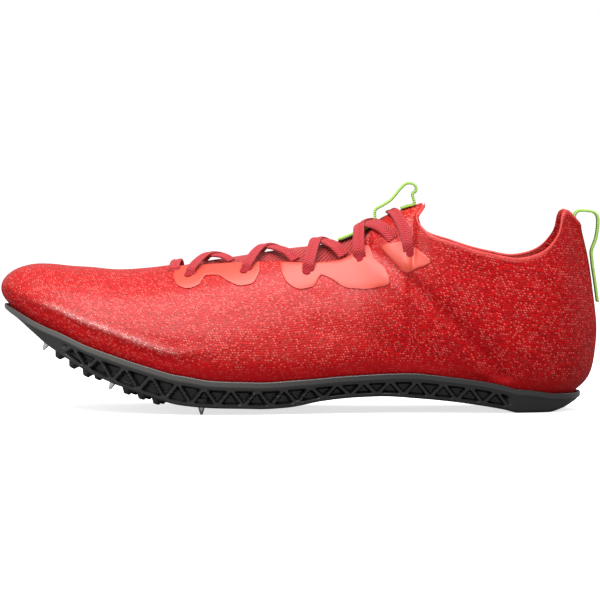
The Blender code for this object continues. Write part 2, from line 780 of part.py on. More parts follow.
def plate_rings():
    """Sections of the plate across the shoe: bed, rim, side wall and underside."""
    rings = []
    for section in sampled_sections():
        halves = []
        for side in (LATERAL, MEDIAL):
            turn = turn_on(side, section)
            if section in (0.0, float(LAST)):
                turn = section
            inner = foot_point(turn, -RIM_GAP, 0.0)
            local = depth(inner[0])
            drop = min(RIM_DOWN, 0.45 * local)
            edge = min(PLATE_EDGE, 0.30 * local)
            tuck = min(SIDE_TAPER + edge, SIDE_TAPER * 2)
            half = [
                inner,
                foot_point(turn, -RIM_GAP, RIM_UP),
                foot_point(turn, -RIM_GAP - RIM_WIDTH, RIM_UP),
                foot_point(turn, -RIM_GAP - RIM_WIDTH, -drop),
                foot_point(turn, -RIM_GAP - RIM_WIDTH + SIDE_STEP, -drop - 0.05 * local),
            ]
            side_foot = foot_point(turn, SIDE_TAPER - RIM_GAP - RIM_WIDTH, 0.0)
            side_foot[2] = underside(side_foot[0]) + edge
            bottom = foot_point(turn, tuck, 0.0)
            bottom[2] = underside(bottom[0])
            halves.append(half + [side_foot, bottom])
        lateral, medial = halves
        ring = list(lateral)
        ring += across(lateral[-1], medial[-1], underside)
        ring += list(reversed(medial))
        ring += across(medial[0], lateral[0], bed)
        rings.append(ring)
    return rings


def across(one, two, height):
    """Points between two others, at the height that a function gives."""
    points = []
    for share in (0.25, 0.5, 0.75):
        point = one + (two - one) * share
        point[2] = height(point[0])
        points.append(point)
    return points


def prism(bm, corners, direction):
    """A closed prism over a flat outline."""
    near = [bm.verts.new(corner) for corner in corners]
    far = [bm.verts.new(np.array(corner) + direction) for corner in corners]
    bm.faces.new(near)
    bm.faces.new(reversed(far))
    for k in range(len(near)):
        after = (k + 1) % len(near)
        bm.faces.new((near[after], near[k], far[k], far[after]))


def guide(name, bm):
    bmesh.ops.recalc_face_normals(bm, faces=bm.faces)
    mesh = bpy.data.meshes.new(name)
    bm.to_mesh(mesh)
    bm.free()
    obj = bpy.data.objects.new(name, mesh)
    bpy.context.collection.objects.link(obj)
    return obj


def foot_section_of(station):
    """Section number whose foot lies at a station."""
    return find(lambda turn: controls_at(turn)[0] - along(station), 0.0, float(LAST))


def side_pockets():
    """Triangular windows between the webs of the plate's side, point up and point down by turns."""
    bm = bmesh.new()
    count = int((POCKET_LAST - POCKET_FIRST) * SHOE_LENGTH / POCKET_PITCH)
    for side in (LATERAL, MEDIAL):
        for k in range(2 * count):
            station = POCKET_FIRST + (k / 2 + 0.25) * POCKET_PITCH / SHOE_LENGTH
            turn = turn_on(side, foot_section_of(station))
            out = outward(turn)
            run = np.array((-out[1], out[0], 0.0)) * (1 if side == LATERAL else -1)
            face = foot_point(turn, 0.0, 0.0)
            local = depth(face[0])
            run = run + UP * underside_slope(face[0]) * run[0]
            low = underside(face[0]) + PLATE_EDGE + POCKET_WEB * 0.6
            high = bed(face[0]) - RIM_DOWN - 0.05 * local - POCKET_WEB * 0.5
            half = POCKET_PITCH / 2 - POCKET_WEB * 0.62
            tip, base = (high, low) if k % 2 == 0 else (low, high)
            start = face - out * POCKET_DEPTH
            corners = [
                start + run * -half + UP * (base - start[2]),
                start + run * half + UP * (base - start[2]),
                start + UP * (tip - start[2]),
            ]
            prism(bm, corners, out * (POCKET_DEPTH + RIM_WIDTH + FEATHER_RADIUS * 2))
    return guide("pocket_guide", bm)


def spike_axis(spike):
    """Tip and direction, from tip to root, of a spike."""
    turn = turn_on(spike.side, foot_section_of(spike.station))
    tip = foot_point(turn, spike.inset, 0.0)
    tip[2] = spike.tip * TOE_SPRING
    lean = math.radians(spike.lean)
    return tip, np.array((math.sin(lean), 0.0, math.cos(lean)))


def turned(bm, profile, sides, base, axis):
    """A closed body turned about an axis through base; profile holds radius and height pairs."""
    helper = np.array((0.0, 1.0, 0.0))
    one = np.cross(helper, axis)
    one /= np.linalg.norm(one)
    two = np.cross(axis, one)
    rings = []
    for radius, height in profile:
        ring = []
        for k in range(sides):
            angle = 2 * math.pi * k / sides
            spoke = one * math.cos(angle) + two * math.sin(angle)
            ring.append(bm.verts.new(base + axis * height + spoke * radius))
        rings.append(ring)
    for low, high in zip(rings, rings[1:]):
        for k in range(sides):
            after = (k + 1) % sides
            bm.faces.new((low[k], low[after], high[after], high[k]))
    bm.faces.new(reversed(rings[0]))
    bm.faces.new(rings[-1])


def spike_wells():
    """Hollows that clear each spike's flange and cone, up to the face that the flange seats on."""
    bm = bmesh.new()
    radius = SPIKE_FLANGE_RADIUS + WELL_CLEARANCE
    for spike in SPIKES:
        tip, axis = spike_axis(spike)
        turned(bm, ((radius, -PLATE_DEPTH), (radius, SPIKE_LENGTH + GAP)), SPIKE_SIDES, tip, axis)
    return guide("well_guide", bm)


def spike_sockets():
    """Moulded bosses that each spike is screwed into."""
    bm = bmesh.new()
    for spike in SPIKES:
        tip, axis = spike_axis(spike)
        start = SPIKE_LENGTH + GAP
        profile = ((SOCKET_RADIUS * 0.86, start), (SOCKET_RADIUS, start + SOCKET_HEIGHT))
        turned(bm, profile, SPIKE_SIDES, tip, axis)
    return guide("socket_guide", bm)


def tread_lugs():
    """Teeth under the forefoot, in rows that follow both edges and the middle."""
    bm = bmesh.new()
    profile = ((LUG_SIZE, -LUG_ROOT), (LUG_SIZE * 0.8, 0.0), (LUG_SIZE * 0.28, LUG_HEIGHT))
    for station in LUG_STATIONS:
        for side in (LATERAL, MEDIAL):
            turn = turn_on(side, foot_section_of(station))
            for inset in LUG_INSETS:
                centre = foot_point(turn, inset, 0.0)
                centre[2] = underside(centre[0])
                axis = np.array((underside_slope(centre[0]), 0.0, -1.0))
                axis /= np.linalg.norm(axis)
                turned(bm, profile, 4, centre, axis)
    return guide("lug_guide", bm)


def build_plate():
    plate = mesh_from("spike_plate", plate_rings(), ring_closed=True, capped=False)
    combine(plate, side_pockets(), "DIFFERENCE")
    combine(plate, spike_sockets(), "UNION")
    combine(plate, spike_wells(), "DIFFERENCE")
    combine(plate, tread_lugs(), "UNION")
    return MOULDED(plate)


def build_spike(spike):
    """A cone on a flange, tip down, with a flat at the tip."""
    tip, axis = spike_axis(spike)
    bm = bmesh.new()
    flange = SPIKE_LENGTH - SPIKE_FLANGE
    profile = (
        (SPIKE_TIP_RADIUS, 0.0),
        (SPIKE_ROOT_RADIUS, flange),
        (SPIKE_FLANGE_RADIUS, flange),
        (SPIKE_FLANGE_RADIUS, SPIKE_LENGTH),
    )
    turned(bm, profile, SPIKE_SIDES, tip, axis)
    obj = guide(f"spike_{spike.name}", bm)
    obj.data.shade_smooth()
    obj.data.set_sharp_from_angle(angle=math.radians(30))
    return METAL(obj)


def build_insole():
    """The sock liner, lying on the upper's lasting margin."""
    inset = WALL + INSOLE_CLEARANCE
    base = UPPER_SEAT + WALL + INSOLE_SEAT
    rings = []
    for section in sampled_sections():
        halves = []
        for side in (LATERAL, MEDIAL):
            turn = section if section in (0.0, float(LAST)) else turn_on(side, section)
            halves.append((foot_point(turn, inset, base), foot_point(turn, inset + 0.0006, base + INSOLE)))
        (low_l, high_l), (low_m, high_m) = halves
        bottom = across(low_m, low_l, lambda x: bed(x) + base)
        top = across(high_l, high_m, lambda x: bed(x) + base + INSOLE)
        rings.append([low_l, high_l] + top + [high_m, low_m] + bottom)
    return FOAM(mesh_from("insole", rings, ring_closed=True))


def build_tongue_loop():
    """Webbing along the tongue's middle that ends in a finger loop above the tab."""
    over_lace = LACE_SEAT + LACE_THICKNESS / 2 + GAP
    path = []
    for station, share in WEBBING_SEAT:
        section = section_of(station)
        low = 2 * GAP + tongue_offset(section, 1.0)
        lift = low + (over_lace - low) * share
        path.append(skin_point(section, 1.0, lift + WEBBING / 2) * (1, 0, 1))
    anchor = path[-1]
    for row in TONGUE_LOOP:
        path.append(anchor + np.array((row.run, 0.0, row.rise)) * TONGUE_LOOP_LENGTH)
    for station in TAB_SEAT:
        path.append(skin_point(section_of(station), 1.0, 2 * GAP + WEBBING / 2) * (1, 0, 1))
    return WEB(ribbon("tongue_loop", smooth_path(path, 2), WEBBING_WIDTH, WEBBING))


def heel_t(turn, height):
    """Share of the heel's profile at a height."""
    return find(lambda t: wall_point(turn, t)[2] - height, 0.2, 1.0)


def build_heel_loop():
    """Webbing from inside the heel tab, over its edge and down the back of the heel."""
    ride = GAP * 2.6 + WEBBING / 2
    edge = wall_point(float(LAST), 1.0)
    inner_turn = LAST - 0.9
    inside = []
    for drop in (HEEL_LOOP_INSIDE, HEEL_LOOP_INSIDE / 2, 0.0):
        t = heel_t(inner_turn, edge[2] - drop)
        inside.append(skin_point(inner_turn, t, -(WALL + ride)) * (1, 0, 1))
    rim = wall_point(inner_turn, 1.0) * (1, 0, 1)
    free = [
        rim + np.array((-WALL / 2, 0.0, 3.0 * ride)),
        edge + np.array((HEEL_LOOP_STAND * 0.45, 0.0, HEEL_LOOP_RISE)),
        edge + np.array((HEEL_LOOP_STAND * 0.85, 0.0, HEEL_LOOP_RISE * 0.8)),
        edge + np.array((HEEL_LOOP_STAND, 0.0, HEEL_LOOP_RISE * 0.2)),
        edge + np.array((HEEL_LOOP_STAND * 0.9, 0.0, HEEL_LOOP_RISE * -1.2)),
    ]
    outside = []
    for share, ease in ((0.36, 0.9), (0.46, 0.35), (0.56, 0.1), (0.78, 0.0), (1.0, 0.0)):
        t = heel_t(float(LAST), edge[2] - HEEL_LOOP_OUTSIDE * share)
        outside.append(skin_point(float(LAST), t, ride + WEBBING * ease))
    return WEB(ribbon("heel_loop", smooth_path(inside + free + outside, 2), WEBBING_WIDTH, WEBBING))


def main():
    clear_scene()
    build_upper()
    build_plate()
    for spike in SPIKES:
        build_spike(spike)
    build_insole()
    build_tongue()
    for side in (LATERAL, MEDIAL):
        for label, outline in FILMS:
            build_film(side, label, outline)
        build_top_film(side)
    for number, crossing in enumerate(CROSSINGS, 1):
        build_crossing(number, crossing)
    front = section_of(FRONT_BAR_STATION)
    build_bar("lace_bar_front", front, FRONT_BAR_DEPTH, front)
    build_bar("lace_bar_top", TOP_EYELET_SECTION, TOP_EYELET_DEPTH, section_of(TOP_BAR_STATION))
    build_tongue_loop()
    build_heel_loop()


main()
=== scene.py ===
"""Visual model of a track spike shoe for the left foot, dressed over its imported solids.

Metres, +Z up. The toe points to -X and the lateral side to -Y, and the shoe stands on Z = 0.
"""

import math
from collections import namedtuple
from functools import cache, partial

import bmesh
import bpy
import numpy as np
from mathutils import Matrix, Vector


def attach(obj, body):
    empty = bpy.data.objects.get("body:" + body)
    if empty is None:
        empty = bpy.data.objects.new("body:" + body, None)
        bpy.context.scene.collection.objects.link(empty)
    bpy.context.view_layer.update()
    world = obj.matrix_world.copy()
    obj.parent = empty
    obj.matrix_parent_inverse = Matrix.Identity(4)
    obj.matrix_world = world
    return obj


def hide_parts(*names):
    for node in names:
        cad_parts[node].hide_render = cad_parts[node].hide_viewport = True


bl_info = {
    "name": "Track spike shoe",
    "version": (1, 0, 0),
    "blender": (4, 5, 0),
    "location": "View3D > Sidebar > Shoe",
    "description": "Builds a knit track spike shoe piece by piece",
    "category": "Add Mesh",
}

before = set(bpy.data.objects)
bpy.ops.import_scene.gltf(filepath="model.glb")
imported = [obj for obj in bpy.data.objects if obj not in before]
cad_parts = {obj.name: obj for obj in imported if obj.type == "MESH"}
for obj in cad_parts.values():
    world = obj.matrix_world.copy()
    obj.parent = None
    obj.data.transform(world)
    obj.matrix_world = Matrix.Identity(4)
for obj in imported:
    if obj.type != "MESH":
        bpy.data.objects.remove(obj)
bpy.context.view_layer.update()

# Overall sizes
SHOE_LENGTH = 0.285
HEEL_REST_STATION = 0.889
BALL_WIDTH = 0.088
HEEL_WIDTH = 0.061
TONGUE_HEIGHT = 0.0986
HEEL_TAB_HEIGHT = 0.0956

# Plate
TOE_SPRING = 0.047
ARCH_LIFT = 0.0079
PLATE_DEPTH = 0.0125
RIM_UP = 0.0015
RIM_DOWN = 0.0012
RIM_WIDTH = 0.0013
RIM_GAP = 0.0005
SIDE_STEP = 0.0007
SIDE_TAPER = 0.0014
PLATE_EDGE = 0.0012
POCKET_DEPTH = 0.0030
POCKET_PITCH = 0.0125
POCKET_WEB = 0.0016
POCKET_FIRST = 0.115
POCKET_LAST = 0.845
LUG_SIZE = 0.0042
LUG_HEIGHT = 0.0026
LUG_ROOT = 0.0015
REST_FACE_LENGTH = 0.016

# Upper
WALL = 0.0014
FEATHER_RADIUS = 0.0020
MARGIN = 0.0080

# Overlays, tongue and insole
FILM = 0.0006
FILM_DROP = 0.0100
FILM_INSET = 0.0009
THROAT_WIDTH = 0.0180
TAB_FLARE = 0.0045
TAB_FLARE_START = 0.93
TONGUE = 0.0018
TONGUE_LAP = 0.0100
TONGUE_CLEARANCE = 0.0018
TONGUE_FULL_SHARE = 0.60
INSOLE = 0.0030
INSOLE_CLEARANCE = 0.0020
INSOLE_SEAT = 0.0005
UPPER_SEAT = 0.0005

# Laces and webbing
LACE_WIDTH = 0.0050
LACE_THICKNESS = 0.0014
LACE_CLEARANCE = 0.0010
WEBBING_WIDTH = 0.0085
WEBBING = 0.0012
TONGUE_LOOP_LENGTH = 0.0156
HEEL_LOOP_RISE = 0.0056
HEEL_LOOP_STAND = 0.0084
HEEL_LOOP_INSIDE = 0.0110
HEEL_LOOP_OUTSIDE = 0.0380

# Spikes
SPIKE_LENGTH = 0.0062
SPIKE_TIP_RADIUS = 0.0006
SPIKE_ROOT_RADIUS = 0.0021
SPIKE_FLANGE_RADIUS = 0.0031
SPIKE_FLANGE = 0.0010
SOCKET_RADIUS = 0.0047
SOCKET_HEIGHT = 0.0012

# Clearance between neighbouring pieces
GAP = 0.0003

# Photograph's frame: metres to a pixel, and the pixels of the heel's rest face and of the ground
PIXEL = 0.000479
HEEL_REST_PIXEL = 530
GROUND_PIXEL = 409

# One row for each section of the upper, from the toe round one side to the heel. foot and top are stations
# along the shoe, 0 at the toe and 1 at the heel. lateral and medial are shares of the local plate width,
# instep of the tongue's height, heel of the heel tab's height, shift of the ball width and spread of the
# heel width. swell and belly, shares of the ball width, push the wall outwards at its foot and below its
# top. climb and hang are the lengths of those two handles as shares of the wall's height, and crown is a
# share of the distance that the wall leans in.
Section = namedtuple(
    "Section", "foot lateral medial top instep heel shift spread swell climb crown belly hang"
)
SECTIONS = (
    Section(0.010, -0.102, 0.102, 0.069, 0.705, 0.000, 0.080, 0.000, 0.098, 0.43, 1.00, 0.000, 0.00),
    Section(0.022, 0.080, 0.267, 0.076, 0.705, 0.000, 0.080, 0.000, 0.095, 0.43, 0.96, 0.000, 0.00),
    Section(0.045, 0.193, 0.347, 0.092, 0.702, 0.000, 0.077, 0.000, 0.085, 0.43, 0.86, 0.000, 0.00),
    Section(0.085, 0.295, 0.409, 0.118, 0.694, 0.000, 0.074, 0.000, 0.078, 0.43, 0.76, 0.000, 0.00),
    Section(0.135, 0.381, 0.455, 0.152, 0.688, 0.000, 0.072, 0.000, 0.074, 0.43, 0.69, 0.000, 0.00),
    Section(0.190, 0.438, 0.477, 0.197, 0.677, 0.000, 0.068, 0.000, 0.072, 0.43, 0.65, 0.000, 0.00),
    Section(0.250, 0.477, 0.489, 0.252, 0.687, 0.000, 0.066, 0.000, 0.070, 0.43, 0.61, 0.000, 0.00),
    Section(0.310, 0.498, 0.483, 0.310, 0.710, 0.000, 0.061, 0.000, 0.068, 0.43, 0.58, 0.000, 0.00),
    Section(0.370, 0.498, 0.449, 0.370, 0.736, 0.000, 0.055, 0.000, 0.066, 0.43, 0.55, 0.000, 0.00),
    Section(0.430, 0.477, 0.403, 0.430, 0.763, 0.000, 0.045, 0.000, 0.064, 0.43, 0.53, 0.000, 0.00),
    Section(0.490, 0.450, 0.363, 0.490, 0.789, 0.000, 0.034, 0.000, 0.062, 0.42, 0.52, 0.000, 0.00),
    Section(0.550, 0.444, 0.352, 0.545, 0.807, 0.000, 0.025, 0.000, 0.060, 0.41, 0.52, 0.000, 0.00),
    Section(0.595, 0.452, 0.362, 0.585, 0.842, 0.000, 0.017, 0.000, 0.058, 0.40, 0.52, 0.000, 0.00),
    Section(0.625, 0.464, 0.375, 0.622, 0.901, 0.000, 0.010, 0.000, 0.056, 0.38, 0.58, 0.000, 0.00),
    Section(0.650, 0.475, 0.388, 0.658, 0.961, 0.000, 0.003, 0.000, 0.055, 0.36, 0.66, 0.000, 0.01),
    Section(0.668, 0.483, 0.399, 0.688, 1.000, 0.000, 0.000, 0.000, 0.055, 0.34, 0.74, 0.000, 0.04),
    Section(0.680, 0.488, 0.407, 0.692, 0.988, 0.000, 0.000, 0.148, 0.056, 0.32, 0.46, 0.030, 0.10),
    Section(0.693, 0.492, 0.416, 0.696, 0.940, 0.000, 0.000, 0.290, 0.058, 0.31, 0.22, 0.042, 0.18),
    Section(0.709, 0.498, 0.425, 0.703, 0.900, 0.000, 0.000, 0.360, 0.060, 0.30, 0.10, 0.052, 0.25),
    Section(0.736, 0.504, 0.440, 0.722, 0.852, 0.000, 0.000, 0.432, 0.064, 0.29, 0.04, 0.058, 0.30),
    Section(0.765, 0.502, 0.449, 0.756, 0.000, 0.845, 0.000, 0.484, 0.068, 0.28, 0.00, 0.060, 0.33),
    Section(0.795, 0.498, 0.457, 0.790, 0.000, 0.811, 0.000, 0.500, 0.073, 0.27, 0.00, 0.060, 0.35),
    Section(0.830, 0.493, 0.464, 0.825, 0.000, 0.786, 0.000, 0.497, 0.079, 0.26, 0.00, 0.062, 0.36),
    Section(0.865, 0.480, 0.459, 0.865, 0.000, 0.768, 0.000, 0.480, 0.087, 0.24, 0.00, 0.066, 0.37),
    Section(0.900, 0.443, 0.430, 0.905, 0.000, 0.801, 0.000, 0.434, 0.098, 0.22, 0.00, 0.075, 0.38),
    Section(0.930, 0.374, 0.366, 0.930, 0.000, 0.881, 0.000, 0.352, 0.118, 0.19, 0.00, 0.087, 0.40),
    Section(0.948, 0.292, 0.287, 0.940, 0.000, 0.978, 0.000, 0.262, 0.138, 0.16, 0.00, 0.094, 0.42),
    Section(0.959, 0.197, 0.193, 0.950, 0.000, 1.000, 0.000, 0.180, 0.154, 0.13, 0.00, 0.097, 0.44),
    Section(0.965, 0.098, 0.098, 0.968, 0.000, 0.948, 0.000, 0.095, 0.162, 0.11, 0.00, 0.098, 0.46),
    Section(0.967, 0.000, 0.000, 0.973, 0.000, 0.934, 0.000, 0.000, 0.164, 0.11, 0.00, 0.098, 0.47),
)
TAB_SECTION = 15

# The plate along the shoe: its underside is the sum of a share of the toe spring and a share of the arch
# lift, and depth is a share of the plate's greatest depth.
Plate = namedtuple("Plate", "station spring arch depth")
PLATE = (
    Plate(-0.020, 1.070, 0.00, 0.16),
    Plate(0.000, 1.010, 0.00, 0.16),
    Plate(0.025, 0.950, 0.00, 0.18),
    Plate(0.055, 0.812, 0.00, 0.34),
    Plate(0.080, 0.690, 0.00, 0.54),
    Plate(0.110, 0.572, 0.00, 0.72),
    Plate(0.150, 0.425, 0.00, 0.86),
    Plate(0.198, 0.298, 0.00, 0.96),
    Plate(0.250, 0.190, 0.00, 0.99),
    Plate(0.306, 0.095, 0.00, 1.01),
    Plate(0.360, 0.066, 0.00, 0.92),
    Plate(0.430, 0.055, 0.00, 0.90),
    Plate(0.480, 0.030, 0.21, 0.90),
    Plate(0.540, 0.000, 0.76, 0.76),
    Plate(0.600, 0.000, 0.96, 0.73),
    Plate(0.640, 0.000, 1.00, 0.75),
    Plate(0.700, 0.000, 0.86, 0.84),
    Plate(0.755, 0.000, 0.67, 0.82),
    Plate(0.800, 0.000, 0.45, 0.82),
    Plate(0.840, 0.000, 0.20, 0.80),
    Plate(0.865, 0.000, 0.00, 0.78),
    Plate(0.915, 0.000, 0.00, 0.63),
    Plate(0.940, 0.000, 0.22, 0.46),
    Plate(0.960, 0.000, 0.52, 0.26),
    Plate(0.985, 0.000, 0.78, 0.13),
    Plate(1.010, 0.000, 0.90, 0.10),
)

# Half width of the throat, a share of its greatest half width, by the station on the ridge.
Throat = namedtuple("Throat", "station share")
THROAT = (
    Throat(0.284, 0.00),
    Throat(0.300, 0.42),
    Throat(0.350, 0.66),
    Throat(0.430, 0.86),
    Throat(0.500, 1.00),
    Throat(0.560, 0.98),
    Throat(0.595, 0.80),
    Throat(0.614, 0.55),
    Throat(0.627, 0.30),
    Throat(0.638, 0.00),
)

# Lower and upper edge of each film overlay by the station on the throat's edge, as depths below that edge in
# shares of the film's drop.
Scallop = namedtuple("Scallop", "station drop top", defaults=(0.0,))
FRONT_FILM = (
    Scallop(0.295, 0.40),
    Scallop(0.302, 0.78),
    Scallop(0.318, 0.96),
    Scallop(0.334, 0.84),
    Scallop(0.346, 0.42),
    Scallop(0.362, 0.44),
    Scallop(0.380, 0.76),
    Scallop(0.400, 1.00),
    Scallop(0.418, 0.92),
    Scallop(0.430, 0.36),
)
MIDDLE_FILM = (
    Scallop(0.462, 0.30),
    Scallop(0.474, 0.86),
    Scallop(0.496, 1.16),
    Scallop(0.518, 1.04),
    Scallop(0.530, 0.52),
    Scallop(0.546, 0.72),
    Scallop(0.566, 1.20),
    Scallop(0.590, 1.72),
    Scallop(0.608, 2.28, 0.15),
    Scallop(0.620, 2.68, 1.31),
    Scallop(0.640, 3.12, 2.28),
    Scallop(0.652, 3.22, 2.90),
)
FILMS = (("front", FRONT_FILM), ("middle", MIDDLE_FILM))

# The film round the top eyelet, by section number; high and low are shares of the tongue's height.
TopFilm = namedtuple("TopFilm", "station high low")
TOP_FILM = (
    TopFilm(13.30, 0.797, 0.790),
    TopFilm(13.60, 0.806, 0.758),
    TopFilm(14.00, 0.814, 0.722),
    TopFilm(14.50, 0.820, 0.686),
    TopFilm(15.00, 0.806, 0.673),
    TopFilm(16.00, 0.796, 0.680),
    TopFilm(17.00, 0.786, 0.690),
    TopFilm(18.20, 0.762, 0.702),
    TopFilm(18.80, 0.736, 0.720),
)

# Where each lace leaves its eyelet, crosses the ridge and goes under the film on the other side, as stations.
# depth and tuck are the two ends' depths below the throat's edge, as shares of the film's depth.
Crossing = namedtuple("Crossing", "eyelet ridge entry depth tuck")
CROSSINGS = (
    Crossing(0.318, 0.351, 0.386, 0.55, -0.10),
    Crossing(0.404, 0.444, 0.490, 0.55, -0.10),
    Crossing(0.506, 0.531, 0.570, 0.60, -0.10),
    Crossing(0.595, 0.607, 0.656, 0.70, 1.30),
)
# Where the webbing lies along the ridge: on the tongue at 0, over the top lace at 1.
WebbingSeat = namedtuple("WebbingSeat", "station share")
WEBBING_SEAT = (
    WebbingSeat(0.566, 0.00),
    WebbingSeat(0.592, 0.00),
    WebbingSeat(0.624, 0.00),
    WebbingSeat(0.631, 0.50),
    WebbingSeat(0.6375, 1.00),
    WebbingSeat(0.648, 1.06),
)

# The finger loop from the webbing's seat round to the tab, as shares of the loop's length.
LoopPoint = namedtuple("LoopPoint", "run rise")
TONGUE_LOOP = (
    LoopPoint(0.24, 0.17),
    LoopPoint(0.52, 0.50),
    LoopPoint(0.68, 0.64),
    LoopPoint(0.86, 0.65),
    LoopPoint(0.98, 0.56),
    LoopPoint(0.98, 0.42),
    LoopPoint(0.88, 0.31),
)
# Stations where the loop's end lies on the tab.
TAB_SEAT = (0.680, 0.671, 0.663)
FRONT_BAR_STATION = 0.296
FRONT_BAR_DEPTH = 0.30
TOP_EYELET_SECTION = 15.0
TOP_EYELET_DEPTH = 2.55
TOP_BAR_STATION = 0.648

# Spikes: station and inset from the foot outline, height of the tip as a share of the toe spring, and the
# lean in degrees.
Spike = namedtuple("Spike", "name side station inset tip lean")
SPIKES = (
    Spike("lateral_front", -1, 0.057, 0.0075, 0.620, 31),
    Spike("medial_front", 1, 0.064, 0.0075, 0.638, 31),
    Spike("lateral_middle", -1, 0.182, 0.0060, 0.243, 25),
    Spike("medial_middle", 1, 0.168, 0.0060, 0.283, 26),
    Spike("lateral_rear", -1, 0.340, 0.0052, 0.000, 0),
    Spike("medial_rear", 1, 0.294, 0.0052, 0.000, 0),
)

# Teeth under the forefoot: stations of the rows and insets from the foot outline.
LUG_STATIONS = (0.095, 0.120, 0.145, 0.215, 0.240, 0.265)
LUG_INSETS = (0.0055, 0.0190)

LATERAL = -1
MEDIAL = 1
SIDE_NAMES = {LATERAL: "lateral", MEDIAL: "medial"}
FILM_SEAT = GAP * 2.6
LAST = len(SECTIONS) - 1
LOOP = 2 * LAST
UP = np.array((0.0, 0.0, 1.0))


def along(station):
    """X of a station, 0 at the toe and 1 at the heel."""
    return (station - HEEL_REST_STATION) * SHOE_LENGTH


def smoothstep(value):
    value = min(max(value, 0.0), 1.0)
    return value * value * (3.0 - 2.0 * value)


def local_width(station):
    """The width that a section's shares refer to: the ball's in front, the heel's behind."""
    mix = smoothstep((station - 0.45) / 0.30)
    return BALL_WIDTH * (1.0 - mix) + HEEL_WIDTH * mix


def curve_through(a, b, c, d, t):
    """Catmull-Rom between b and c."""
    square = 2 * a - 5 * b + 4 * c - d
    cube = 3 * b - a - 3 * c + d
    return 0.5 * (2 * b + (c - a) * t + square * t ** 2 + cube * t ** 3)


def table_value(rows, column, station):
    """Monotone cubic reading of a table's column at a station."""
    keys = [row.station for row in rows]
    values = [getattr(row, column) for row in rows]
    if station <= keys[0]:
        return values[0]
    if station >= keys[-1]:
        return values[-1]
    i = max(k for k in range(len(keys) - 1) if keys[k] <= station)
    slopes = [(values[k + 1] - values[k]) / (keys[k + 1] - keys[k]) for k in range(len(keys) - 1)]

    def tangent(k):
        if k == 0 or k == len(slopes):
            return slopes[min(k, len(slopes) - 1)]
        before, after = slopes[k - 1], slopes[k]
        return 0.0 if before * after <= 0 else 2 * before * after / (before + after)

    span = keys[i + 1] - keys[i]
    t = (station - keys[i]) / span
    left = (1 + 2 * t) * (1 - t) ** 2 * values[i] + t * (1 - t) ** 2 * span * tangent(i)
    right = t * t * (3 - 2 * t) * values[i + 1] + t * t * (t - 1) * span * tangent(i + 1)
    return left + right


def station_at(x):
    return x / SHOE_LENGTH + HEEL_REST_STATION


@cache
def underside(x):
    """Height of the plate's underside; it is flat over the heel's rest face."""
    station = station_at(x)
    if abs(x) <= REST_FACE_LENGTH / 2:
        return 0.0
    spring = table_value(PLATE, "spring", station) * TOE_SPRING
    return spring + table_value(PLATE, "arch", station) * ARCH_LIFT


def underside_slope(x):
    step = 0.002
    return (underside(x + step) - underside(x - step)) / (2 * step)


@cache
def depth(x):
    return table_value(PLATE, "depth", station_at(x)) * PLATE_DEPTH


def bed(x):
    """Height of the plate's top, where the upper stands."""
    return underside(x) + depth(x)


def section_controls(index):
    """Numbers that shape one section: foot x and y, top x, y, height and spread, and the wall's handles."""
    index %= LOOP
    row = SECTIONS[index if index <= LAST else LOOP - index]
    side = LATERAL if index <= LAST else MEDIAL
    width = local_width(row.foot)
    half = row.lateral if side == LATERAL else row.medial
    return np.array((
        along(row.foot),
        side * half * width,
        along(row.top),
        row.shift * BALL_WIDTH,
        row.instep * TONGUE_HEIGHT + row.heel * HEEL_TAB_HEIGHT,
        row.spread * HEEL_WIDTH,
        row.swell * BALL_WIDTH,
        row.climb,
        row.crown,
        row.belly * BALL_WIDTH,
        row.hang,
    ))


CONTROLS = [section_controls(index) for index in range(LOOP)]


@cache
def controls_at(turn):
    """Section numbers at a turn of 0 at the toe, LAST at the heel and LOOP at the toe again."""
    index = math.floor(turn)
    near = [CONTROLS[(index + k) % LOOP] for k in (-1, 0, 1, 2)]
    return curve_through(*near, turn - index)


@cache
def outward(turn):
    """Outward direction of the foot outline, seen from above."""
    step = 0.02
    before, after = controls_at(turn - step), controls_at(turn + step)
    run = after[:2] - before[:2]
    run /= np.linalg.norm(run)
    return np.array((run[1], -run[0], 0.0))


def side_of(turn):
    return LATERAL if turn % LOOP <= LAST else MEDIAL


def section_number(turn):
    """Place in the table of sections, the same on both sides."""
    turn %= LOOP
    return turn if turn <= LAST else LOOP - turn


def ridge_pitch(turn):
    """Slope of the ridge line along the shoe; level at the toe's end and past the tab."""
    section = section_number(turn)
    if not 0.5 < section < TAB_SECTION:
        return 0.0
    ahead, behind = controls_at(section + 0.2), controls_at(section - 0.2)
    return (ahead[4] - behind[4]) / (ahead[2] - behind[2])


@cache
def wall_curve(turn):
    """The four control points of the wall's profile, from its foot to the ridge or the collar."""
    foot_x, foot_y, top_x, ridge, height, spread, swell, climb, crown, belly, hang = controls_at(turn)
    foot = np.array((foot_x, foot_y, bed(foot_x) + UPPER_SEAT + FEATHER_RADIUS))
    top = np.array((top_x, ridge + side_of(turn) * max(spread, 0.0), height))
    out = outward(turn)
    rise = top[2] - foot[2]
    reach = np.linalg.norm((top - foot)[:2])
    pitch = ridge_pitch(turn)
    push = max(crown, 0.0) * reach + belly
    lower = foot + out * swell + UP * climb * rise
    upper = top + out * push + UP * (pitch * out[0] * push - max(hang, 0.0) * rise)
    return foot, lower, upper, top


def tab_flare(turn, height):
    """How far the tip of the tab in front leans back."""
    if section_number(turn) > LAST / 2 + 4:
        return 0.0
    return TAB_FLARE * smoothstep((height / TONGUE_HEIGHT - TAB_FLARE_START) / (1.0 - TAB_FLARE_START))


def wall_point(turn, t):
    a, b, c, d = wall_curve(turn)
    s = 1.0 - t
    point = a * s ** 3 + b * 3 * s * s * t + c * 3 * s * t * t + d * t ** 3
    point[0] += tab_flare(turn, point[2])
    return point


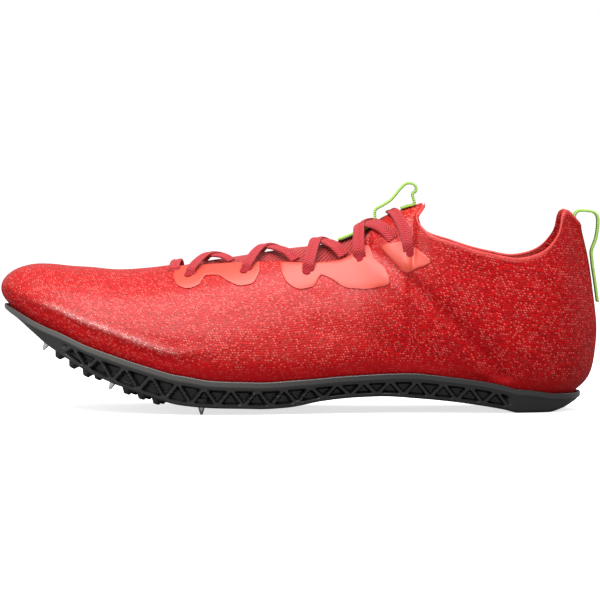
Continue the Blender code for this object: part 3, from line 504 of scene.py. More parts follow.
def wall_normal(turn, t):
    """Unit normal of the wall, pointing out of the shoe."""
    turn_step, t_step = 0.05, 0.01
    low, high = max(t - t_step, 0.0), min(t + t_step, 1.0)
    round_run = wall_point(turn + turn_step, t) - wall_point(turn - turn_step, t)
    rise_run = wall_point(turn, high) - wall_point(turn, low)
    normal = np.cross(round_run, rise_run)
    return normal / np.linalg.norm(normal)


def skin_point(turn, t, offset):
    return wall_point(turn, t) + wall_normal(turn, t) * offset


def find(test, low, high):
    """Value between low and high at which the rising test passes zero."""
    for _ in range(40):
        middle = (low + high) / 2
        if test(middle) < 0:
            low = middle
        else:
            high = middle
    return (low + high) / 2


@cache
def section_of(station):
    """Section number whose top lies at a station of the ridge."""
    return find(lambda turn: controls_at(turn)[2] - along(station), 0.0, float(TAB_SECTION))


@cache
def throat_edge(turn):
    """Share of the wall's profile at which the throat cuts it; 1 where the wall reaches its top."""
    if section_number(turn) >= TAB_SECTION:
        return 1.0
    station = station_at(controls_at(turn)[2])
    half = table_value(THROAT, "share", station) * THROAT_WIDTH
    if half <= 0:
        return 1.0
    ridge = wall_point(turn, 1.0)[1]
    return find(lambda t: half - abs(wall_point(turn, t)[1] - ridge), 0.4, 1.0)


def turn_on(side, section):
    return section if side == LATERAL else LOOP - section


def samples(first, last, steps):
    return [first + (last - first) * k / steps for k in range(steps + 1)]


def foot_point(turn, inset, height):
    """A point at an inset from the foot outline, at a height above the plate's bed there."""
    x, y = controls_at(turn)[:2]
    point = np.array((x, y, 0.0)) - outward(turn) * inset
    point[2] = bed(point[0]) + height
    return point


def tongue_offset(turn, t):
    """Offset of the tongue's face from the wall: lapped under it, and risen to the ridge in the throat."""
    lapped = -(WALL + TONGUE_CLEARANCE)
    edge = throat_edge(turn)
    if edge >= 1.0:
        return lapped
    share = table_value(THROAT, "share", station_at(controls_at(turn)[2]))
    risen = min(1.0, share / TONGUE_FULL_SHARE) * smoothstep((t - edge) / (1.0 - edge))
    return lapped - (lapped + 2 * GAP) * risen


@cache
def film_t(turn, drop):
    """Share of the profile that lies a drop below the throat's edge or the ridge."""
    target = wall_point(turn, throat_edge(turn))[2] - drop
    return find(lambda t: wall_point(turn, t)[2] - target, 0.3, 1.0)


def smooth_path(points, steps):
    """Points on a curve through the given ones."""
    ends = [2 * points[0] - points[1]] + list(points) + [2 * points[-1] - points[-2]]
    path = []
    for k in range(1, len(ends) - 2):
        path += [curve_through(*ends[k - 1:k + 3], step / steps) for step in range(steps)]
    path.append(points[-1])
    return path


@cache
def foot_section_of(station):
    """Section number whose foot lies at a station."""
    return find(lambda turn: controls_at(turn)[0] - along(station), 0.0, float(LAST))


def spike_axis(spike):
    """Tip and direction, from tip to root, of a spike."""
    turn = turn_on(spike.side, foot_section_of(spike.station))
    tip = foot_point(turn, spike.inset, 0.0)
    tip[2] = spike.tip * TOE_SPRING
    lean = math.radians(spike.lean)
    return tip, np.array((math.sin(lean), 0.0, math.cos(lean)))


def heel_t(turn, height):
    """Share of the heel's profile at a height."""
    return find(lambda t: wall_point(turn, t)[2] - height, 0.2, 1.0)


# Surfaces worked out over a whole grid at once


def profile_grid(turns, shares):
    """Points of the wall: one row for each turn, one column for each share of its profile."""
    rows = []
    for turn, row_shares in zip(turns, shares):
        a, b, c, d = wall_curve(turn)
        t = np.asarray(row_shares)[:, None]
        s = 1.0 - t
        points = a * s ** 3 + b * 3 * s * s * t + c * 3 * s * t * t + d * t ** 3
        flare = [tab_flare(turn, height) for height in points[:, 2]]
        points[:, 0] += flare
        rows.append(points)
    return np.array(rows)


def grid_normals(points):
    """Unit normals, out of the shoe, of a grid whose last row lies on its first."""
    padded = np.concatenate((points[-2:-1], points, points[1:2]))
    along_rows = padded[2:] - padded[:-2]
    up_rows = np.gradient(points, axis=1)
    normals = np.cross(along_rows, up_rows)
    length = np.linalg.norm(normals, axis=2, keepdims=True)
    return normals / np.maximum(length, 1e-12)


def smooth_mask(values, low, high):
    """0 below low and 1 above high, smooth between."""
    share = np.clip((values - low) / (high - low), 0.0, 1.0)
    return share * share * (3.0 - 2.0 * share)


def path_distance(points, path):
    """Distance of each point from a broken line, in the plane that both are given in."""
    nearest = np.full(points.shape[:-1], 1e9)
    for start, end in zip(path, path[1:]):
        start, run = np.array(start), np.array(end) - np.array(start)
        share = np.clip(((points - start) @ run) / (run @ run), 0.0, 1.0)
        gap = points - (start + share[..., None] * run)
        nearest = np.minimum(nearest, np.linalg.norm(gap, axis=-1))
    return nearest


def side_place(station, height):
    """A place on the shoe's side, from a station and a share of the tongue's height."""
    return along(station), height * TONGUE_HEIGHT


# Soft troughs and ridges of the upper: a path over stations and shares of the tongue's height, the width of
# its slope and how far it rises or sinks.
Fold = namedtuple("Fold", "path width lift")
FOLDS = (
    Fold(
        ((0.606, 0.84), (0.618, 0.794), (0.672, 0.663), (0.721, 0.537), (0.771, 0.390), (0.838, 0.171)),
        0.0031, -0.0023,
    ),
    Fold(((0.598, 0.800), (0.640, 0.690), (0.690, 0.560), (0.742, 0.395)), 0.0011, -0.0006),
    Fold(((0.585, 0.74), (0.652, 0.620), (0.702, 0.490), (0.752, 0.340), (0.805, 0.150)), 0.0060, 0.0006),
    Fold(((0.690, 0.70), (0.740, 0.560), (0.800, 0.420), (0.870, 0.300)), 0.0065, 0.0008),
    Fold(((0.700, 0.78), (0.760, 0.700), (0.830, 0.640)), 0.0045, -0.0005),
    Fold(((0.540, 0.42), (0.640, 0.350), (0.720, 0.240)), 0.0055, -0.0006),
)
# Slow waves over the midfoot: their height, and how fast they turn along the shoe and up it
WAVE_HEIGHT = 0.00016
WAVE_ALONG = 74.0
WAVE_UP = 230.0
# The ridge's width along the toe's side, and the groove under it: how far below, how wide and what share of
# the ridge's lift it sinks.
RIDGE_WIDTH = 0.0022
GROOVE_DROP = 0.0040
GROOVE_WIDTH = 0.0030
GROOVE_SHARE = 0.6
# The ridge over the stations that it spans: its height above the plate and its lift.
Ridge = namedtuple("Ridge", "station height lift")
TOE_RIDGE = (
    Ridge(0.000, 0.0120, 0.0000),
    Ridge(0.050, 0.0125, 0.0003),
    Ridge(0.120, 0.0130, 0.0007),
    Ridge(0.200, 0.0125, 0.0009),
    Ridge(0.280, 0.0115, 0.0007),
    Ridge(0.350, 0.0150, 0.0003),
    Ridge(0.420, 0.0190, 0.0000),
)


def relief(turns, points, shares, edges):
    """How far the upper's surface stands off its plain form: folds, the toe's ridge and slow waves."""
    lift = np.zeros(points.shape[:2])
    flat = points[:, :, [0, 2]]
    for fold in FOLDS:
        distance = path_distance(flat, [side_place(*place) for place in fold.path])
        lift += fold.lift * np.exp(-((distance / fold.width) ** 2))
    stations = stations_of(points)
    for k, turn in enumerate(turns):
        station = station_at(controls_at(turn)[0])
        if station < TOE_RIDGE[-1].station:
            above = points[k, :, 2] - bed(controls_at(turn)[0]) - table_value(TOE_RIDGE, "height", station)
            ridge = table_value(TOE_RIDGE, "lift", station)
            lift[k] += ridge * np.exp(-((above / RIDGE_WIDTH) ** 2))
            lift[k] -= ridge * GROOVE_SHARE * np.exp(-(((above + GROOVE_DROP) / GROOVE_WIDTH) ** 2))
    waves = np.sin(stations * WAVE_ALONG + points[:, :, 2] * WAVE_UP) * smooth_mask(stations, 0.30, 0.55)
    lift += WAVE_HEIGHT * waves
    fade = smooth_mask(1.0 - shares / edges, 0.0, 0.05) * smooth_mask(shares, 0.0, 0.06)
    return lift * fade


def mesh_object(name, bm, sharp_angle=None):
    """Ends a bmesh as an object of the scene."""
    mesh = bpy.data.meshes.new(name)
    bm.to_mesh(mesh)
    bm.free()
    if sharp_angle is not None:
        mesh.shade_smooth()
        mesh.set_sharp_from_angle(angle=math.radians(sharp_angle))
    obj = bpy.data.objects.new(name, mesh)
    bpy.context.scene.collection.objects.link(obj)
    return obj


def stand_on(bm, verts, place, axis, shift=Matrix()):
    """Moves vertices made along Z to a place, with their Z turned to an axis."""
    aim = Vector(axis).to_track_quat("Z", "X").to_matrix().to_4x4()
    bmesh.ops.transform(bm, matrix=Matrix.Translation(Vector(place)) @ aim @ shift, verts=verts)


def grid_object(name, points, uv=None, attributes=None, wall=None, sharp_angle=180):
    """A mesh from a grid whose corners are moved to the given points, with its seams merged."""
    rows, columns = points.shape[:2]
    bm = bmesh.new()
    bmesh.ops.create_grid(bm, x_segments=rows - 1, y_segments=columns - 1, size=1.0)
    uv_layer = bm.loops.layers.uv.new("cloth")
    layers = {key: bm.verts.layers.float.new(key) for key in (attributes or {})}
    bm.verts.ensure_lookup_table()

    def grid_place(vert):
        return round((vert.co.x + 1) * (rows - 1) / 2), round((vert.co.y + 1) * (columns - 1) / 2)

    order = sorted(bm.verts, key=grid_place)
    place = {}
    for index, vert in enumerate(order):
        row, column = divmod(index, columns)
        vert.co = points[row, column]
        place[vert] = (row, column)
        for key, layer in layers.items():
            vert[layer] = float(attributes[key][row, column])
    if uv is not None:
        for face in bm.faces:
            for loop in face.loops:
                row, column = place[loop.vert]
                loop[uv_layer].uv = uv[row, column]
    bmesh.ops.remove_doubles(bm, verts=bm.verts, dist=2e-6)
    bmesh.ops.dissolve_degenerate(bm, edges=bm.edges, dist=1e-7)
    bmesh.ops.recalc_face_normals(bm, faces=bm.faces)
    obj = mesh_object(name, bm, sharp_angle)
    if wall:
        solidify = obj.modifiers.new("wall", "SOLIDIFY")
        solidify.thickness = wall
        solidify.offset = -1.0
        solidify.use_quality_normals = True
    return obj


def spaced_sections(stops, counts):
    """Section numbers from stop to stop, evenly spaced between two stops."""
    spans = [np.linspace(low, high, count) for low, high, count in zip(stops, stops[1:], counts)]
    return np.concatenate([spans[0]] + [span[1:] for span in spans[1:]])


def stations_of(points):
    return points[:, :, 0] / SHOE_LENGTH + HEEL_REST_STATION


def arc_lengths(points, axis):
    steps = np.linalg.norm(np.diff(points, axis=axis), axis=2)
    shape = list(points.shape[:2])
    shape[axis] = 1
    return np.concatenate((np.zeros(shape), np.cumsum(steps, axis=axis)), axis=axis)


def grid_uv(points):
    """Lengths along the rows, taken at mid height, and along the columns, in metres."""
    run = arc_lengths(points[:, points.shape[1] // 2:points.shape[1] // 2 + 1], 0)
    rise = arc_lengths(points, 1)
    return np.stack((np.broadcast_to(run, rise.shape), rise), axis=2)


def dress(obj, material, nodes):
    """Gives a finished piece its material and ties it to the frame."""
    obj.data.materials.append(material)
    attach(obj, "root")
    if nodes:
        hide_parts(*nodes)


# Materials


def shader_material(name, roughness=0.5, metallic=0.0):
    material = bpy.data.materials.new(name)
    material.use_nodes = True
    shader = material.node_tree.nodes["Principled BSDF"]
    shader.inputs["Roughness"].default_value = roughness
    shader.inputs["Metallic"].default_value = metallic
    return material, material.node_tree, shader


def new_group(name, inputs, outputs):
    """A node group with its input and output nodes; every output is a number."""
    group = bpy.data.node_groups.new(name, "ShaderNodeTree")
    for label, kind, value in inputs:
        socket = group.interface.new_socket(label, in_out="INPUT", socket_type="NodeSocket" + kind)
        if value is not None:
            socket.default_value = value
    for label in outputs:
        group.interface.new_socket(label, in_out="OUTPUT", socket_type="NodeSocketFloat")
    return group, group.nodes.new("NodeGroupInput"), group.nodes.new("NodeGroupOutput")


def feed(tree, socket, value):
    """Sets a socket to a number or a colour, or links another socket to it."""
    if isinstance(value, (int, float, tuple)):
        socket.default_value = value
    else:
        tree.links.new(value, socket)


def math_node(tree, operation, *values):
    node = tree.nodes.new("ShaderNodeMath")
    node.operation = operation
    for socket, value in zip(node.inputs, values):
        feed(tree, socket, value)
    return node.outputs[0]


def plus(tree, first, second):
    return math_node(tree, "ADD", first, second)


def minus(tree, first, second):
    return math_node(tree, "SUBTRACT", first, second)


def times(tree, first, second):
    return math_node(tree, "MULTIPLY", first, second)


def divide(tree, first, second):
    return math_node(tree, "DIVIDE", first, second)


def remap(tree, value, low, high, start=0.0, end=1.0):
    """Smooth step from start to end while the value goes from low to high."""
    node = tree.nodes.new("ShaderNodeMapRange")
    node.interpolation_type = "SMOOTHSTEP"
    for key, number in (("From Min", low), ("From Max", high), ("To Min", start), ("To Max", end)):
        node.inputs[key].default_value = number
    tree.links.new(value, node.inputs["Value"])
    return node.outputs["Result"]


def mix_color(tree, factor, first, second):
    node = tree.nodes.new("ShaderNodeMix")
    node.data_type = "RGBA"
    for key, value in ((0, factor), (6, first), (7, second)):
        feed(tree, node.inputs[key], value)
    return node.outputs[2]


def opaque(color):
    """A setting's colour with full alpha."""
    return tuple(color) + (1.0,)


def knit_group():
    """Rows of small stitches: bright flecks, dark pinholes, a height and a tone for each stitch."""
    if "Knit stitches" in bpy.data.node_groups:
        return bpy.data.node_groups["Knit stitches"]
    tree, start, end = new_group(
        "Knit stitches",
        (("Place", "Vector", None), ("Stitch", "Float", 0.0011), ("Slant", "Float", 0.4)),
        ("Fleck", "Pinhole", "Height", "Tone"),
    )
    split = tree.nodes.new("ShaderNodeSeparateXYZ")
    tree.links.new(start.outputs["Place"], split.inputs[0])
    slanted = plus(tree, split.outputs[0], times(tree, split.outputs[1], start.outputs["Slant"]))
    across_stitch = divide(tree, slanted, start.outputs["Stitch"])
    up_stitch = divide(tree, times(tree, split.outputs[1], 1.15), start.outputs["Stitch"])
    joined = tree.nodes.new("ShaderNodeCombineXYZ")
    tree.links.new(across_stitch, joined.inputs[0])
    tree.links.new(up_stitch, joined.inputs[1])
    cells = tree.nodes.new("ShaderNodeTexVoronoi")
    cells.voronoi_dimensions = "2D"
    cells.inputs["Scale"].default_value = 1.0
    cells.inputs["Randomness"].default_value = 0.30
    tree.links.new(joined.outputs[0], cells.inputs["Vector"])
    cell_tone = tree.nodes.new("ShaderNodeSeparateColor")
    tree.links.new(cells.outputs["Color"], cell_tone.inputs[0])
    dome = remap(tree, cells.outputs["Distance"], 0.0, 0.55, 1.0, 0.0)
    clouds = tree.nodes.new("ShaderNodeTexNoise")
    clouds.noise_dimensions = "2D"
    clouds.inputs["Scale"].default_value = 0.16
    clouds.inputs["Detail"].default_value = 2.0
    tree.links.new(joined.outputs[0], clouds.inputs["Vector"])
    chance = plus(tree, cell_tone.outputs[0], times(tree, minus(tree, clouds.outputs[0], 0.5), 0.9))
    from_middle = cells.outputs["Distance"]
    fleck = times(tree, remap(tree, chance, 0.48, 0.72), remap(tree, from_middle, 0.12, 0.42, 1.0, 0.0))
    deep = remap(tree, cell_tone.outputs[1], 0.55, 0.8)
    pin = times(tree, deep, remap(tree, from_middle, 0.10, 0.36, 1.0, 0.0))
    tree.links.new(fleck, end.inputs["Fleck"])
    tree.links.new(pin, end.inputs["Pinhole"])
    tree.links.new(minus(tree, dome, times(tree, pin, 1.4)), end.inputs["Height"])
    tree.links.new(cell_tone.outputs[2], end.inputs["Tone"])
    return tree


def weave_group():
    """A flat weave: short slanted strands either side of a middle line."""
    if "Flat weave" in bpy.data.node_groups:
        return bpy.data.node_groups["Flat weave"]
    tree, start, end = new_group(
        "Flat weave",
        (("Place", "Vector", None), ("Strand", "Float", 0.0012), ("Slope", "Float", 0.8)),
        ("Height", "Shade"),
    )
    split = tree.nodes.new("ShaderNodeSeparateXYZ")
    tree.links.new(start.outputs["Place"], split.inputs[0])
    fold = times(tree, math_node(tree, "ABSOLUTE", split.outputs[1]), start.outputs["Slope"])
    turn = divide(tree, plus(tree, split.outputs[0], fold), start.outputs["Strand"])
    wave = math_node(tree, "SINE", times(tree, turn, 2 * math.pi))
    across = times(tree, split.outputs[1], 2 * math.pi * 1.3)
    cross = math_node(tree, "SINE", divide(tree, across, start.outputs["Strand"]))
    height = plus(tree, wave, times(tree, cross, 0.4))
    tree.links.new(height, end.inputs["Height"])
    tree.links.new(remap(tree, height, -1.1, 0.6), end.inputs["Shade"])
    return tree


def cloth_place(tree):
    """A place on the cloth, in metres along it and across it."""
    node = tree.nodes.new("ShaderNodeUVMap")
    node.uv_map = "cloth"
    return node.outputs[0]


def place_group(tree, group, **values):
    """A node group on the cloth, with its settings."""
    node = tree.nodes.new("ShaderNodeGroup")
    node.node_tree = group
    for key, value in values.items():
        node.inputs[key].default_value = value
    tree.links.new(cloth_place(tree), node.inputs["Place"])
    return node


def fine_noise(tree, scale, detail):
    """Noise on the piece's own coordinates."""
    noise = tree.nodes.new("ShaderNodeTexNoise")
    noise.inputs["Scale"].default_value = scale
    noise.inputs["Detail"].default_value = detail
    place = tree.nodes.new("ShaderNodeTexCoord")
    tree.links.new(place.outputs["Object"], noise.inputs["Vector"])
    return noise.outputs[0]


def attribute(tree, name):
    node = tree.nodes.new("ShaderNodeAttribute")
    node.attribute_name = name
    return node.outputs["Fac"]


def bump(tree, shader, height, distance, strength):
    node = tree.nodes.new("ShaderNodeBump")
    node.inputs["Distance"].default_value = distance
    node.inputs["Strength"].default_value = strength
    tree.links.new(height, node.inputs["Height"])
    tree.links.new(node.outputs[0], shader.inputs["Normal"])


# Pieces


def knit_material(look):
    material, tree, shader = shader_material("red knit", 0.62)
    stitches = place_group(tree, knit_group(), Stitch=0.00130, Slant=0.45)
    fleck, pin, height, tone = (stitches.outputs[key] for key in ("Fleck", "Pinhole", "Height", "Tone"))
    film = attribute(tree, "film_side")
    low = attribute(tree, "painted_low_shade")
    rim = attribute(tree, "rim_band")
    ridge = attribute(tree, "ridge_highlight_band")
    ground = mix_color(tree, tone, opaque(look.knit_dark_and_low_shade), opaque(look.knit))
    ground = mix_color(tree, times(tree, film, 0.55), ground, opaque(look.knit_veil))
    # Painted shade: the upper is mixed towards the dark red along the low band above the plate
    ground = mix_color(tree, times(tree, low, 0.85), ground, opaque(look.knit_dark_and_low_shade))
    # Flecks, pinholes and the stitch bumps fade out in that painted shade
    shown = times(tree, minus(tree, 1.0, times(tree, low, 0.8)), 1.0)
    fleck_share = times(tree, times(tree, fleck, shown), plus(tree, 0.62, times(tree, film, 0.10)))
    lit = mix_color(tree, fleck_share, ground, opaque(look.fleck))
    pin_share = times(tree, times(tree, pin, shown), 0.95)
    holed = mix_color(tree, pin_share, lit, opaque(look.pinhole))
    edged = mix_color(tree, times(tree, rim, 0.7), holed, opaque(look.rim))
    # Painted highlight: a light line of flecks along the toe's ridge
    highlight_share = times(tree, ridge, plus(tree, 0.18, times(tree, fleck, 0.75)))
    highlighted = mix_color(tree, highlight_share, edged, opaque(look.painted_ridge_highlight))
    tree.links.new(highlighted, shader.inputs["Base Color"])
    tree.links.new(remap(tree, film, 0.0, 1.0, 0.66, 0.46), shader.inputs["Roughness"])
    tree.links.new(times(tree, film, 0.35), shader.inputs["Coat Weight"])
    shader.inputs["Coat Roughness"].default_value = 0.30
    shader.inputs["Specular IOR Level"].default_value = 0.16
    bump(tree, shader, times(tree, height, shown), 0.00030, 0.9)
    return material


# Rows of the upper's grid, closer round the collar's front, and the steps from its foot to its top
UPPER_STOPS = (0.0, 12.0, 20.0, LAST)
UPPER_COUNTS = (97, 97, 73)
UPPER_STEPS = 79
# The collar's rim: between which depths its light band fades, and the height, depth and width of its bead
RIM_FADE = (0.0016, 0.0024)
BEAD_HEIGHT = 0.00035
BEAD_DROP = 0.0011
BEAD_WIDTH = 0.0007
# The forefoot's clear layer: how it leans back with height, and where it ends and starts
VEIL_LEAN = 0.34
VEIL_END = (0.40, 0.55)
VEIL_START = (0.008, 0.016)
# The painted shade along the band above the plate, and the painted highlight along the toe's ridge
LOW_SHADE_FADE = (0.005, 0.011)
HIGHLIGHT_RISE = 0.0006
HIGHLIGHT_WIDTH = 0.0012


def upper_points():
    """The upper's outside, from the turned margin up to the throat and the collar, with its relief."""
    sections = spaced_sections(UPPER_STOPS, UPPER_COUNTS)
    turns = list(sections) + [LOOP - s for s in sections[-2::-1]]
    edges = np.array([throat_edge(turn) for turn in turns])
    steps = np.linspace(0.0, 1.0, UPPER_STEPS)
    shares = edges[:, None] * steps[None, :]
    wall = profile_grid(turns, shares)
    normals = grid_normals(wall)
    lift = relief(turns, wall, shares, edges[:, None])
    below_edge = arc_lengths(wall[:, ::-1], 1)[:, ::-1]
    collar = np.array([section_number(turn) >= TAB_SECTION - 0.6 for turn in turns])[:, None]
    rim = np.where(collar, 1.0 - smooth_mask(below_edge, *RIM_FADE), 0.0)
    bead = BEAD_HEIGHT * np.exp(-(((below_edge - BEAD_DROP) / BEAD_WIDTH) ** 2))
    bead *= smooth_mask(below_edge, 0.0, 0.0004)
    open_edge = smooth_mask(np.array([section_number(turn) for turn in turns]), 15.0, 15.6)[:, None]
    lift = lift + bead * open_edge
    wall = wall + normals * lift[..., None]
    feet = []
    for turn in turns:
        ring = [foot_point(turn, FEATHER_RADIUS + MARGIN * share, UPPER_SEAT) for share in (1.0, 0.5)]
        for angle in (90, 67.5, 45, 22.5):
            turned = math.radians(angle)
            inset = FEATHER_RADIUS * (1 - math.cos(turned))
            ring.append(foot_point(turn, inset, UPPER_SEAT + FEATHER_RADIUS * (1 - math.sin(turned))))
        feet.append(ring)
    feet = np.array(feet)
    points = np.concatenate((feet, wall), axis=1)
    extra = feet.shape[1]
    stations = stations_of(points)
    beds = np.array([bed(controls_at(turn)[0]) for turn in turns])[:, None]
    rise = points[:, :, 2] - beds
    leaning = stations - points[:, :, 2] / TONGUE_HEIGHT * VEIL_LEAN
    film_side = (1.0 - smooth_mask(leaning, *VEIL_END)) * smooth_mask(rise, *VEIL_START)
    # Painted shade: a band just above the plate, weaker towards the toe
    painted_low_shade = 1.0 - smooth_mask(rise, *LOW_SHADE_FADE)
    foot_stations = [station_at(controls_at(turn)[0]) for turn in turns]
    # Painted highlight along the toe's ridge, just above its crest, fading at both ends
    ridge_height = np.array([table_value(TOE_RIDGE, "height", station) for station in foot_stations])
    ridge_highlight_band = np.exp(-(((rise - ridge_height[:, None] - HIGHLIGHT_RISE) / HIGHLIGHT_WIDTH) ** 2))
    ridge_highlight_band *= smooth_mask(stations, 0.06, 0.12) * (1.0 - smooth_mask(stations, 0.24, 0.34))
    painted_low_shade = np.clip(painted_low_shade * (0.55 + 0.45 * smooth_mask(stations, 0.15, 0.35)), 0.0, 1.0)
    rim = np.concatenate((np.zeros((len(turns), extra)), rim), axis=1)
    return points, {"film_side": film_side, "painted_low_shade": painted_low_shade, "rim_band": rim, "ridge_highlight_band": ridge_highlight_band}


def build_upper(look):
    points, bands = upper_points()
    points[-1] = points[0]
    uv = grid_uv(points)
    obj = grid_object("upper_shell", points, uv, bands, wall=WALL)
    dress(obj, knit_material(look), ("upper",))


def rib_material(look):
    material, tree, shader = shader_material("rib knit", 0.75)
    weave = place_group(tree, weave_group(), Strand=0.0021, Slope=0.85)
    stitches = place_group(tree, knit_group(), Stitch=0.0009, Slant=0.2)
    # Painted shade: the ribs darken where the weave dips into its grooves
    tone = mix_color(tree, weave.outputs["Shade"], opaque(look.rib_groove_shade), opaque(look.rib))
    holed = mix_color(tree, times(tree, stitches.outputs["Pinhole"], 0.6), tone, opaque(look.pinhole))
    tree.links.new(holed, shader.inputs["Base Color"])
    total = plus(tree, weave.outputs["Height"], stitches.outputs["Height"])
    bump(tree, shader, total, 0.0003, 0.8)
    shader.inputs["Sheen Weight"].default_value = 0.15
    return material


# Rows along the tongue and steps from its edge to its middle
TONGUE_ROWS = 90
TONGUE_STEPS = 14


def build_tongue(look):
    first, last = section_of(THROAT[0].station) - 0.9, section_of(THROAT[-1].station) + 0.9
    sections = np.linspace(first, last, TONGUE_ROWS)
    rows = []
    for section in sections:
        halves = []
        for side in (LATERAL, MEDIAL):
            turn = turn_on(side, section)
            run = np.linalg.norm(wall_point(turn, 1.0) - wall_point(turn, 0.5)) / 0.5
            low = throat_edge(turn) - TONGUE_LAP / run
            steps = samples(low, 1.0, TONGUE_STEPS)
            halves.append([skin_point(turn, t, tongue_offset(turn, t)) for t in steps])
        crown = (halves[0][-1] + halves[1][-1]) / 2
        rows.append(halves[0][:-1] + [crown] + halves[1][-2::-1])
    points = np.array(rows)
    uv = grid_uv(points)
    uv[:, :, 1] -= uv[:, points.shape[1] // 2, 1][:, None]
    obj = grid_object("tongue_gusset", points, uv, wall=TONGUE)
    dress(obj, rib_material(look), ("tongue",))


def film_material(look):
    material, tree, shader = shader_material("coral film", 0.42)
    clouds = fine_noise(tree, 1400.0, 3.0)
    edge = attribute(tree, "edge_band")
    tone = mix_color(tree, times(tree, edge, 0.6), opaque(look.film), opaque(look.film_edge))
    grain = mix_color(tree, times(tree, clouds, 0.12), tone, opaque(look.knit))
    tree.links.new(grain, shader.inputs["Base Color"])
    shader.inputs["Coat Weight"].default_value = 0.2
    shader.inputs["Coat Roughness"].default_value = 0.35
    bump(tree, shader, clouds, 0.00006, 0.5)
    return material


# Rows along a scalloped film and along the top one, and columns across each
FILM_ROWS = 56
TOP_FILM_ROWS = 40
FILM_COLUMNS = 13
# Thickness of the film at its edge and inside it, and how low it sits, as shares of the solid's own
FILM_EDGE_SHARE = 0.30
FILM_FIELD_SHARE = 0.62
FILM_SEAT_SHARE = 0.3


def film_grid(sections, side, ends):
    """A thin plate on the upper's surface, thinner towards its edges."""
    rows, edge = [], []
    turns = [turn_on(side, section) for section in sections]
    spans = [ends(turn, section) for turn, section in zip(turns, sections)]
    shares = np.array([samples(*span, FILM_COLUMNS - 1) for span in spans])
    edges = np.array([throat_edge(turn) for turn in turns])[:, None]
    lift = relief(turns, profile_grid(turns, shares), shares, edges)
    for k, turn in enumerate(turns):
        levels = shares[k]
        ends_gap = min(k, len(sections) - 1 - k)
        inner, outer, shade = [], [], []
        for j, t in enumerate(levels):
            near = min(j, FILM_COLUMNS - 1 - j, ends_gap)
            thick = FILM * (FILM_EDGE_SHARE if near == 0 else FILM_FIELD_SHARE)
            inner.append(skin_point(turn, t, FILM_SEAT * FILM_SEAT_SHARE + lift[k, j]))
            outer.append(skin_point(turn, t, FILM_SEAT * FILM_SEAT_SHARE + thick + lift[k, j]))
            shade.append(1.0 if near == 0 else 0.0)
        rows.append(inner + outer[::-1] + inner[:1])
        edge.append(shade + shade[::-1] + shade[:1])
    return np.array(rows), np.array(edge)


def scallop_ends(outline, turn, section):
    """Shares of the wall's profile at a scalloped film's upper and lower edge."""
    station = station_at(controls_at(section)[2])
    drop, top = (table_value(outline, column, station) * FILM_DROP for column in ("drop", "top"))
    return film_t(turn, FILM_INSET * 0.6 + top), film_t(turn, FILM_INSET + drop)


def top_film_ends(turn, section):
    """Shares of the wall's profile at the top film's upper and lower edge."""
    heights = [table_value(TOP_FILM, column, section) * TONGUE_HEIGHT for column in ("high", "low")]
    return [find(lambda t: wall_point(turn, t)[2] - height, 0.3, 1.0) for height in heights]


def build_films(look):
    material = film_material(look)
    plans = []
    for label, outline in FILMS:
        first, last = section_of(outline[0].station), section_of(outline[-1].station)
        plans.append((label, np.linspace(first, last, FILM_ROWS), partial(scallop_ends, outline)))
    top_sections = np.linspace(TOP_FILM[0].station, TOP_FILM[-1].station, TOP_FILM_ROWS)
    plans.append(("top", top_sections, top_film_ends))
    for side in (LATERAL, MEDIAL):
        for label, sections, ends in plans:
            points, edge = film_grid(sections, side, ends)
            name = f"eyestay_{label}_{SIDE_NAMES[side]}"
            obj = grid_object(name + "_film", points, None, {"edge_band": edge}, sharp_angle=50)
            close_ends(obj)
            dress(obj, material, (name,))


def close_ends(obj):
    """Fills the open ends of a piece and turns its faces outwards."""
    bm = bmesh.new()
    bm.from_mesh(obj.data)
    bmesh.ops.holes_fill(bm, edges=[edge for edge in bm.edges if edge.is_boundary], sides=0)
    bmesh.ops.recalc_face_normals(bm, faces=bm.faces)
    bm.to_mesh(obj.data)
    bm.free()


def lace_material(look):
    material, tree, shader = shader_material("woven lace", 0.7)
    weave = place_group(tree, weave_group(), Strand=0.0013, Slope=0.9)
    tone = mix_color(tree, weave.outputs["Shade"], opaque(look.lace_deep), opaque(look.lace))
    tree.links.new(tone, shader.inputs["Base Color"])
    bump(tree, shader, weave.outputs["Height"], 0.0002, 0.9)
    shader.inputs["Sheen Weight"].default_value = 0.1
    return material


LACE_PROFILE = (
    (-0.50, 0.00), (-0.47, 0.28), (-0.38, 0.47), (-0.24, 0.52), (-0.10, 0.42), (0.00, 0.34), (0.10, 0.42),
    (0.24, 0.52), (0.38, 0.47), (0.47, 0.28), (0.50, 0.00), (0.44, -0.36), (0.24, -0.46), (0.00, -0.40),
    (-0.24, -0.46), (-0.44, -0.36),
)
WEB_PROFILE = (
    (-0.50, 0.00), (-0.49, 0.38), (-0.44, 0.50), (-0.40, 0.36), (-0.20, 0.38), (0.00, 0.38), (0.20, 0.38),
    (0.40, 0.36), (0.44, 0.50), (0.49, 0.38), (0.50, 0.00), (0.49, -0.38), (0.44, -0.50), (0.40, -0.36),
    (0.00, -0.38), (-0.40, -0.36), (-0.44, -0.50), (-0.49, -0.38),
)


